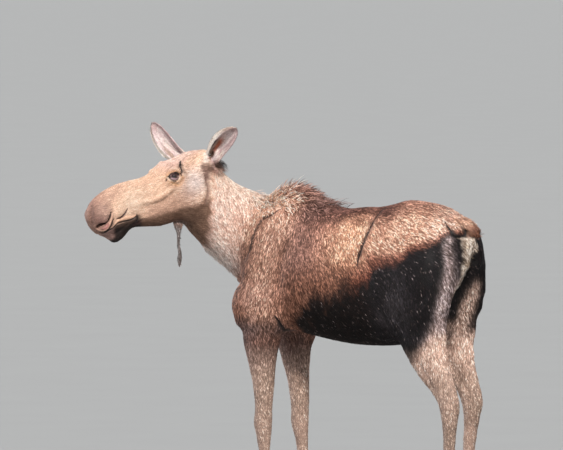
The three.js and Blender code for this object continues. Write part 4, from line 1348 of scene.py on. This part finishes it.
def scattered(fields, region):
    """Places for the tufts of a region, as the corners of a skin triangle and its share of each."""
    triangles = fields["triangles"]
    a, b, c = (fields["points"][triangles[:, k]] for k in range(3))
    area = np.linalg.norm(np.cross(b - a, c - a), axis=1) / 2
    total = np.cumsum(area * (region * fields["density"])[triangles].mean(axis=1))
    count = int(total[-1])
    spots = (np.arange(count) + rng.random(count)) * (total[-1] / count)
    face = np.minimum(np.searchsorted(total, spots), len(triangles) - 1)
    u, v = rng.random((2, count))
    over = u + v > 1
    u, v = np.where(over, 1 - u, u), np.where(over, 1 - v, v)
    return triangles[face], np.column_stack([1 - u - v, u, v])


def at_roots(values, corner, share):
    picked = values[corner] * (share if values.ndim == 1 else share[:, :, None])
    return picked.sum(axis=1)


def lock_faces(rows):
    """The triangles of one closed lock: a root, rows of left, ridge and right, and a tip."""
    faces = [[0, 2, 1], [0, 3, 2], [0, 1, 3]]
    for left in range(1, 3 * rows - 2, 3):
        ridge, right = left + 1, left + 2
        faces += [[left, ridge, ridge + 3], [left, ridge + 3, left + 3]]
        faces += [[ridge, right, right + 3], [ridge, right + 3, ridge + 3]]
        faces += [[left, left + 3, right + 3], [left, right + 3, right]]
    left, ridge, right, tip = 3 * rows - 2, 3 * rows - 1, 3 * rows, 3 * rows + 1
    return np.array(faces + [[left, ridge, tip], [ridge, right, tip], [left, tip, right]])


def lock_points(root, ahead, normal, length, width, rise, rows):
    """The points of closed locks that leave the skin at an angle, rise, and bend back towards it."""
    side = np.cross(ahead, normal)
    drop = normal * (0.12 * width)[:, None]

    def spine(share):
        bend = rise * (1 - 0.45 * share)
        towards = ahead * np.cos(bend)[:, None] + normal * np.sin(bend)[:, None]
        return root + (length * share)[:, None] * towards

    points = [root - drop]
    for row in range(rows):
        share = (row + 0.65) / (rows + 0.5)
        middle = spine(share)
        half = side * (0.5 * width * (1 - 0.55 * share**2) * min(1, 0.55 + 1.6 * share))[:, None]
        points += [middle - half - drop, middle + normal * (0.3 * width * (1 - 0.4 * share))[:, None]]
        points += [middle + half - drop]
    return np.stack(points + [spine(1.0)], axis=1)


def lock_normals(ahead, normal, rows):
    """Sleek shading: the skin's own normals, leaning out a little at the sides and tips."""
    side = np.cross(ahead, normal)
    normals = [normal]
    for _ in range(rows):
        normals += [normal - LEAN * side, normal, normal + LEAN * side]
    return unit(np.stack(normals + [normal + LEAN * ahead], axis=1))


def bake_offsets(rows):
    """Where each point of a lock lies in its patch of the bake map."""
    offsets = [[0, 0.5]]
    for row in range(rows):
        share = (row + 0.65) / (rows + 0.5)
        offsets += [[share, 0], [share, 0.5], [share, 1]]
    return PATCH * np.array(offsets + [[1, 0.5]])


def unrolled(root, island, axis):
    """The roots unrolled round an axis, each island in a strip of its own, from 0 to 1 both ways."""
    spot = np.zeros((len(root), 2))
    strips = np.unique(island)
    axis = unit(axis)
    sideways = unit(np.cross(axis, [0.13, 0.2, 0.97]))
    upward = np.cross(axis, sideways)
    for place, strip in enumerate(strips):
        chosen = island == strip
        v = root[chosen] - root[chosen].mean(axis=0)
        along = v @ axis
        turn = np.arctan2(v @ sideways, v @ upward) / (2 * math.pi) + 0.5
        spot[chosen, 0] = (along - along.min()) / max(np.ptp(along), mm(1))
        spot[chosen, 1] = (place + turn) / len(strips)
    return PATCH + spot * (1 - 3 * PATCH)


def streaks(points, lie, wide, long, seed):
    """Noise from about -1 to 1 drawn out along the lie of the hair."""
    shifts = np.linspace(-0.5, 0.5, 7) * long
    total = sum(noise(points + shift * lie, wide, seed) for shift in shifts)
    return total / 2.6


def set_colour(mesh, paint):
    """Gives each point a colour, as the light it reflects."""
    layer = mesh.attributes.new("coat_colour", "FLOAT_COLOR", "POINT")
    layer.data.foreach_set("color", np.column_stack([paint, np.ones(len(paint))]).astype(np.float32).ravel())


def coat_piece(name, fields, region, axis, slot, rows=1, scale=(1, 1, 1), thin=1.0, islands=None, stray=7):
    """One piece of the coat: closed tufts over a region, which is a share for each point of the skin.

    scale is for the tufts' length, width and rise, thin for how many there are, and stray is how far
    they swing aside, in degrees.
    """
    corner, share = scattered(fields, region * thin)
    root, normal, ahead, colour, length, width, rise = (
        at_roots(fields[key], corner, share)
        for key in ("points", "normals", "lie", "colour", "length", "width", "rise")
    )
    count = len(root)
    normal = unit(normal)
    ahead = unit(ahead - normal * np.sum(ahead * normal, axis=1, keepdims=True))
    clump = noise(root, mm(26), 21)
    swing = np.radians(stray) * (rng.standard_normal(count) + 0.9 * clump)
    ahead = ahead * np.cos(swing)[:, None] + np.cross(normal, ahead) * np.sin(swing)[:, None]
    length = length * scale[0] * rng.uniform(0.7, 1.2, count) * (1 + 0.15 * clump)
    width = width * scale[1] * rng.uniform(0.75, 1.25, count)
    rise = rise * scale[2] * rng.uniform(0.6, 1.35, count)
    points = lock_points(root, ahead, normal, length, width, rise, rows)
    each = points.shape[1]
    faces = (lock_faces(rows)[None] + (np.arange(count) * each)[:, None, None]).reshape(-1, 3)
    mesh = mesh_of(name, points.reshape(-1, 3), faces)
    flecks = at_roots(fields["flecks"], corner, share)
    leaning = lock_normals(ahead, normal, rows).reshape(-1, 3)
    mesh.normals_split_custom_set_from_vertices(leaning.astype(np.float32))
    tone = 0.45 * rng.standard_normal(count) + 0.75 * streaks(root, ahead, mm(4), mm(18), 22)
    tone += 0.2 * noise(root, mm(60), 23) - 0.12
    tone = np.clip(tone * flecks, DARKEST_FLECK, PALEST_FLECK)[:, None, None] * WARM_DARK
    stray_hair = step(0.04, 0.012, colour.mean(axis=1)) * (rng.random(count) < PALE_IN_DARK)
    colour = mix(colour, PALE_HAIR, stray_hair * rng.uniform(0.2, 1, count))
    to_tip = 0.6 + 0.75 * step(0, 0.9, np.linspace(0, 1, each))
    paint = np.minimum(colour[:, None] * np.exp(tone) * to_tip[None, :, None], WHITEST_HAIR)
    set_colour(mesh, paint.reshape(-1, 3))
    spot = unrolled(root, np.zeros(count, int) if islands is None else islands(root, normal), axis)
    order = faces.ravel()
    uv = spot[order // each] + bake_offsets(rows)[order % each]
    mesh.uv_layers.new(name="OFBake").uv.foreach_set("vector", uv.astype(np.float32).ravel())
    piece = new_object(name, mesh)
    mesh.materials.append(coat_material(slot))
    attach(piece, "root")


# ---------------------------------------------------------------- materials


def shader(name):
    """A new material, a helper that adds a node and one that fills its Principled shader's inputs."""
    material = bpy.data.materials.new(name)
    material.use_nodes = True
    nodes, links = material.node_tree.nodes, material.node_tree.links

    def fill(node, inputs):
        for key, value in inputs.items():
            if hasattr(value, "is_output"):
                links.new(value, node.inputs[key])
            else:
                node.inputs[key].default_value = value
        return node

    def add(kind, inputs=None, **settings):
        node = nodes.new("ShaderNode" + kind)
        for key, value in settings.items():
            setattr(node, key, value)
        return fill(node, inputs or {})

    return material, add, lambda inputs: fill(nodes["Principled BSDF"], inputs)


def ramp(add, source, *stops):
    """A colour ramp: each stop is a place and a grey or a colour."""
    node = add("ValToRGB", {"Fac": source})
    elements = node.color_ramp.elements
    while len(elements) < len(stops):
        elements.new(0.5)
    for element, (place, tone) in zip(elements, stops):
        element.position = place
        element.color = (*np.broadcast_to(tone, 3), 1)
    return node.outputs["Color"]


def times(add, a, b):
    """The product of two colours."""
    return add("VectorMath", {0: a, 1: b}, operation="MULTIPLY").outputs[0]


def coat_material(slot):
    """Hair: the coat's own colour, broken up along and between the strands."""
    known = bpy.data.materials.get("hair_" + slot)
    if known:
        return known
    material, add, surface = shader("hair_" + slot)
    place = add("TexCoord").outputs["Object"]
    paint = add("Attribute", attribute_name="coat_colour").outputs["Color"]
    fine = {"Vector": place, "Scale": 420.0, "Detail": 3.0, "Roughness": 0.6}
    strands = add("TexNoise", fine).outputs["Fac"]
    patches = add("TexNoise", {"Vector": place, "Scale": 38.0, "Detail": 2.0}).outputs["Fac"]
    colour = times(add, paint, ramp(add, strands, (0.3, 0.72), (0.7, 1.28)))
    colour = times(add, colour, ramp(add, patches, (0.35, 0.88), (0.65, 1.1)))
    rough = add("MapRange", {"Value": strands, "To Min": 0.42, "To Max": 0.66}).outputs["Result"]
    ridges = add("Bump", {"Height": strands, "Strength": 0.35, "Distance": 0.0008}).outputs["Normal"]
    surface({"Base Color": colour, "Roughness": rough, "Normal": ridges, "Specular IOR Level": 0.26})
    return material


def skin_material():
    """Short flat hair on the skin itself: streaks of hair as colour and bump, smoother where bare."""
    material, add, surface = shader("skin")
    place = add("TexCoord").outputs["Object"]
    paint = add("Attribute", attribute_name="coat_colour").outputs["Color"]
    bare = add("Attribute", attribute_name="bare").outputs["Fac"]
    hair = add("TexNoise", {"Vector": place, "Scale": 520.0, "Detail": 4.0, "Roughness": 0.65}).outputs["Fac"]
    pores = add("TexVoronoi", {"Vector": place, "Scale": 700.0}).outputs["Distance"]
    colour = times(add, paint, ramp(add, hair, (0.3, 0.7), (0.7, 1.3)))
    rough = add("MapRange", {"Value": bare, "To Min": 0.62, "To Max": 0.34}).outputs["Result"]
    hairs = add("Bump", {"Height": hair, "Strength": 0.5, "Distance": 0.0012}).outputs["Normal"]
    pitted = {"Height": pores, "Strength": 0.25, "Distance": 0.0006, "Normal": hairs}
    grain = add("Bump", pitted).outputs["Normal"]
    surface({"Base Color": colour, "Roughness": rough, "Normal": grain, "Specular IOR Level": 0.35})
    return material


def horn_material():
    """Dark horn with growth rings and a worn, paler lower edge."""
    material, add, surface = shader("horn")
    place = add("TexCoord").outputs["Object"]
    height = add("SeparateXYZ", {"Vector": place}).outputs["Z"]
    grain = add("TexNoise", {"Vector": place, "Scale": 90.0, "Detail": 5.0}).outputs["Fac"]
    rings = add("TexWave", {"Vector": place, "Scale": 55.0, "Distortion": 2.5, "Detail": 2.0},
                bands_direction="Z").outputs["Fac"]
    wear = add("MapRange", {"Value": height, "From Max": 0.05}).outputs["Result"]
    colour = times(add, ramp(add, wear, (0, linear(96, 80, 66)), (1, linear(46, 38, 34))),
                   ramp(add, grain, (0.3, 0.65), (0.7, 1.35)))
    rough = add("MapRange", {"Value": grain, "To Min": 0.32, "To Max": 0.6}).outputs["Result"]
    ridges = add("Bump", {"Height": rings, "Strength": 0.4, "Distance": 0.001}).outputs["Normal"]
    surface({"Base Color": colour, "Roughness": rough, "Normal": ridges})
    return material


def eye_material():
    """A dark brown iris with fibres, a black pupil and a wet, clear front."""
    material, add, surface = shader("eyeball")
    paint = add("Attribute", attribute_name="coat_colour").outputs["Color"]
    place = add("TexCoord").outputs["Object"]
    fibres = add("TexNoise", {"Vector": place, "Scale": 600.0, "Detail": 3.0}).outputs["Fac"]
    colour = times(add, paint, ramp(add, fibres, (0.3, 0.7), (0.7, 1.3)))
    surface({"Base Color": colour, "Roughness": 0.25, "Specular IOR Level": 0.1})
    surface({"Coat Weight": 1.0, "Coat Roughness": 0.03, "Coat IOR": 1.8})
    return material


# ---------------------------------------------------------------- eyes and claws

IRIS = mm(15.5)  # its radius on the ball
PUPIL = mm([8.5, 5])  # half its width and height
CORNEA = mm(20)  # the radius of the clear front
CORNEA_CENTRE = math.sqrt(EYE_BALL**2 - IRIS**2) - math.sqrt(CORNEA**2 - IRIS**2)
HAW = mm(-8)  # the pale inner corner and lower edge of the eye reach up to here


def eyeball(node, material):
    """A ball with its pole in front, a bulging cornea, an iris and a level, wide pupil."""
    side = 1 if centre(node) @ HEAD.axes[1] > HEAD.origin @ HEAD.axes[1] else -1
    mirror = np.array([1, side, 1])
    middle = HEAD.world(EYE_CENTRE * mirror)
    gaze = HEAD.turn(GAZE * mirror)
    level, rise = HEAD.turn(LID_AXIS * mirror), HEAD.turn(LID_RISE * mirror)
    tilt, turn = np.meshgrid(
        np.linspace(0, math.pi, 49)[1:-1], np.linspace(0, 2 * math.pi, 64, endpoint=False), indexing="ij"
    )
    across, up = np.sin(tilt) * np.cos(turn), np.sin(tilt) * np.sin(turn)
    bulge = CORNEA_CENTRE * np.cos(tilt) + np.sqrt(CORNEA**2 - (CORNEA_CENTRE * np.sin(tilt)) ** 2)
    radius = np.where(np.cos(tilt) > 0, np.maximum(bulge, EYE_BALL), EYE_BALL)
    ball = radius[..., None] * (
        across[..., None] * level + up[..., None] * rise + np.cos(tilt)[..., None] * gaze
    )
    points, faces = closed_tube(middle + ball)
    mesh = mesh_of(node + "_ball", points, faces)
    v = points - middle
    flat = np.column_stack([v @ level, v @ rise])
    pupil = np.hypot(*(flat / PUPIL).T)
    ahead = v @ gaze > 0
    out = np.linalg.norm(flat, axis=1) / IRIS
    colour = mix(linear(60, 24, 18), linear(24, 10, 10), step(0.5, 1.0, out))
    colour = mix(colour, linear(9, 6, 8), step(1.15, 0.9, pupil))
    colour = mix(colour, linear(104, 74, 70), step(1.0, 1.12, out) * ahead + ~ahead)
    haw = step(HAW + mm(1.2), HAW - mm(1.2), flat[:, 1] - 0.18 * flat[:, 0]) * ahead
    colour = mix(colour, linear(190, 160, 164), haw * 0.9)
    set_colour(mesh, colour)
    mesh.materials.append(material)
    ball = new_object(node + "_ball", mesh)
    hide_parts(node)
    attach(ball, "root")


CLAW_VOXEL = mm(4)
RING_STEP, RING_HEIGHT = mm(8), mm(0.5)  # the growth rings


def claw(node, material):
    """A claw of smooth horn with rings, from its CAD solid, flat where it stands on the floor."""
    points, faces = swollen(node)
    lump = even_object(node + "_horn", points, faces, CLAW_VOXEL)
    mesh = lump.data
    points, edges = points_of(mesh), edges_of(mesh)
    points = smoothed(points, edges, np.ones(len(points)), 12)
    low = corners(node)[0][2]
    rings = RING_HEIGHT * np.sin(2 * math.pi * (points[:, 2] + 0.15 * points[:, 0]) / RING_STEP)
    move_points(mesh, points)
    points = points + normals_of(mesh) * (rings * step(low + mm(6), low + mm(16), points[:, 2]))[:, None]
    points[:, 2] = np.maximum(points[:, 2], low)
    move_points(mesh, points)
    mesh.shade_smooth()
    mesh.materials.append(material)
    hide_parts(node)
    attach(lump, "root")


# ---------------------------------------------------------------- the coat in pieces


def coat_fields(skin, of):
    """What each point of the skin says about the hair that grows there."""
    mesh = skin.data
    points, normals, edges = points_of(mesh), normals_of(mesh), edges_of(mesh)
    fields = {"points": points, "normals": normals, "triangles": triangles_of(mesh)}
    fields["lie"] = lie_of_coat(points, normals, edges, of)
    fields["colour"] = markings(points, of)
    fields.update(coat_sizes(points, of))
    return fields


def short_coat(fields, of):
    """The short coat of face, neck and trunk: name, region, the axis it is unrolled round, slot."""
    b, q = BODY.local(fields["points"]), HEAD.local(fields["points"])
    low_legs = sum(of[leg] for leg in LEGS) * step(1.05, 0.95, fields["points"][:, 2])
    rest = 1 - of["head"] - of["neck"] - of["bell"] - of["ear_left"] - of["ear_right"] - low_legs
    rest = np.clip(rest, 0, 1)
    rear, front = step(0.58, 0.52, b[:, 0]), step(0.96, 1.02, b[:, 0])
    barrel = rest * (1 - rear) * (1 - front)
    left, right = step(-0.01, 0.01, b[:, 1]), step(0.01, -0.01, b[:, 1])
    face_left = step(-0.01, 0.01, q[:, 1])
    along, ahead = [1, 0, 0], HEAD.axes[0]
    up_the_neck = unit(HEAD.origin - BODY.world(mm([1250, 0, 1400])))
    for piece in (
        ("coat_face_left", of["head"] * face_left, ahead, "face_coat"),
        ("coat_face_right", of["head"] * (1 - face_left), ahead, "face_coat"),
        ("coat_neck", of["neck"], up_the_neck, "neck_coat"),
        ("coat_fore_left", rest * front * left, along, "body_coat"),
        ("coat_fore_right", rest * front * right, along, "body_coat"),
        ("coat_barrel_left", barrel * left, along, "body_coat"),
        ("coat_barrel_right", barrel * right, along, "body_coat"),
        ("coat_rump_left", rest * rear * left, along, "body_coat"),
        ("coat_rump_right", rest * rear * right, along, "body_coat"),
    ):
        name, region, axis, slot = piece
        coat_piece(name, fields, region, axis, slot)
    return low_legs


def each_leg(root, _normal):
    """A number for each leg, so that each is unrolled on its own."""
    place = BODY.local(root)
    return 2 * (place[:, 0] > 0.8) + (place[:, 1] > 0)


def each_ear_side(root, normal):
    """A number for the inside and the back of each ear."""
    on_left = HEAD.local(root)[:, 1] > 0
    facing = np.where(on_left, *(normal @ ear_place(ear).axes[2] for ear in EARS))
    return 2 * on_left + (facing > 0)


def build_coat(fields, of):
    points = fields["points"]
    low_legs = short_coat(fields, of)
    along, upright, ear_axis = [1, 0, 0], [0, 0, 1], ear_place("ear_left").axes[0]
    hind = step(0.85, 0.75, BODY.local(points)[:, 0])
    ears, fringe = sum(of[ear] for ear in EARS), sum(of[ear] * ear_fringe(points, ear) for ear in EARS)
    coat_piece("coat_legs_fore", fields, low_legs * (1 - hind), upright, "leg_coat", islands=each_leg)
    coat_piece("coat_legs_hind", fields, low_legs * hind, upright, "leg_coat", islands=each_leg)
    coat_piece("coat_ears", fields, ears, ear_axis, "ear_coat", islands=each_ear_side)
    hump = hump_share(points) * (of["trunk"] + of["neck"])
    throat, mane = (share(points) * (of["neck"] + of["head"]) for share in (throat_share, mane_share))
    for name, region, axis, slot, scale, thin in (
        ("coat_hump", hump, along, "body_coat", (3.4, 0.85, 4.0), 0.6),
        ("coat_throat", throat, upright, "neck_coat", (1.7, 1.3, 1.2), 0.3),
        ("coat_mane", mane, upright, "neck_coat", (1.9, 1.3, 1.6), 0.8),
        ("coat_tail", of["tail"] * 0.9, along, "body_coat", (1.4, 1.2, 0.9), 0.5),
        ("coat_bell", of["bell"], upright, "bell_coat", (1.4, 1.2, 1), 0.8),
        ("coat_ear_fringe", fringe, ear_axis, "ear_coat", (1.8, 1, 1.5), 0.5),
    ):
        coat_piece(name, fields, region, axis, slot, rows=3, scale=scale, thin=thin, stray=20)


# ---------------------------------------------------------------- studio


def build_studio():
    """A wide pale floor, a warm key, a cool and very soft light from the side, a weak one from behind."""
    material, add, surface = shader("floor")
    place = add("TexCoord").outputs["Object"]
    cloudy = add("TexNoise", {"Vector": place, "Scale": 1.5, "Detail": 4.0}).outputs["Fac"]
    colour = ramp(add, cloudy, (0.3, linear(150, 149, 147)), (0.7, linear(152, 151, 149)))
    surface({"Base Color": colour, "Roughness": 0.8})
    reach = 400.0
    ground = np.array([[-reach, -reach, 0], [reach, -reach, 0], [reach, reach, 0], [-reach, reach, 0]])
    floor = new_object("floor", mesh_of("floor", ground, np.array([[0, 1, 2, 3]])))
    floor.data.materials.append(material)
    # name, where it comes from, strength, how many degrees wide it is, tint
    for name, towards, strength, soft, tint in (
        ("key", (0.52, -0.59, 0.617), 4.0, 7, (1.0, 0.98, 0.95)),
        ("side", (-0.92, -0.38, 0.10), 3.4, 60, (0.90, 0.94, 1.0)),
        ("behind", (0.0, 0.9, 1.1), 0.7, 25, (0.9, 0.95, 1.0)),
    ):
        lamp = bpy.data.lights.new(name, "SUN")
        lamp.energy = strength
        lamp.color = tint
        lamp.angle = math.radians(soft)
        light = bpy.data.objects.new(name, lamp)
        light.rotation_euler = Vector(towards).to_track_quat("Z", "Y").to_euler()
        bpy.context.scene.collection.objects.link(light)
    world = bpy.data.worlds.new("studio")
    world.use_nodes = True
    world.node_tree.nodes["Background"].inputs["Color"].default_value = (*linear(228, 236, 246), 1)
    world.node_tree.nodes["Background"].inputs["Strength"].default_value = 0.4
    bpy.context.scene.world = world
    bpy.context.scene.view_settings.view_transform = "Standard"


VIEW_AIM = (0.145, -0.314, 1.580)
VIEW_AZIMUTH, VIEW_HEIGHT = math.radians(36), math.radians(2)
VIEW_DISTANCE = 50.0  # a long lens, from far away
VIEW_WIDTH = 2.9276  # what the picture takes in at the moose


def build_camera():
    back = Vector((
        math.sin(VIEW_AZIMUTH) * math.cos(VIEW_HEIGHT),
        -math.cos(VIEW_AZIMUTH) * math.cos(VIEW_HEIGHT),
        math.sin(VIEW_HEIGHT),
    ))
    lens = bpy.data.cameras.new("camera")
    lens.lens = lens.sensor_width * VIEW_DISTANCE / VIEW_WIDTH
    lens.clip_start, lens.clip_end = 1.0, 1500.0
    camera = bpy.data.objects.new("camera", lens)
    camera.location = Vector(VIEW_AIM) + back * VIEW_DISTANCE
    camera.rotation_euler = back.to_track_quat("Z", "Y").to_euler()
    bpy.context.scene.collection.objects.link(camera)
    bpy.context.scene.camera = camera


# ---------------------------------------------------------------- everything together


def build_moose():
    skin, of = build_skin()
    fields = coat_fields(skin, of)
    bare = bare_share(fields["points"], of)
    thin_hair = np.maximum(bare, 0.55 * np.clip(of["head"] + of["ear_left"] + of["ear_right"], 0, 1))
    set_colour(skin.data, fields["colour"] * mix(0.6, 1.0, thin_hair)[:, None])
    skin.data.attributes.new("bare", "FLOAT", "POINT").data.foreach_set("value", bare.astype(np.float32))
    skin.data.materials.clear()
    skin.data.materials.append(skin_material())
    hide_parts(*FLESH)
    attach(skin, "root")
    build_coat(fields, of)
    eye, horn = eye_material(), horn_material()
    for node in sorted(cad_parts):
        if node.startswith("eye"):
            eyeball(node, eye)
        elif "claw" in node:
            claw(node, horn)


build_moose()
build_studio()
build_camera()
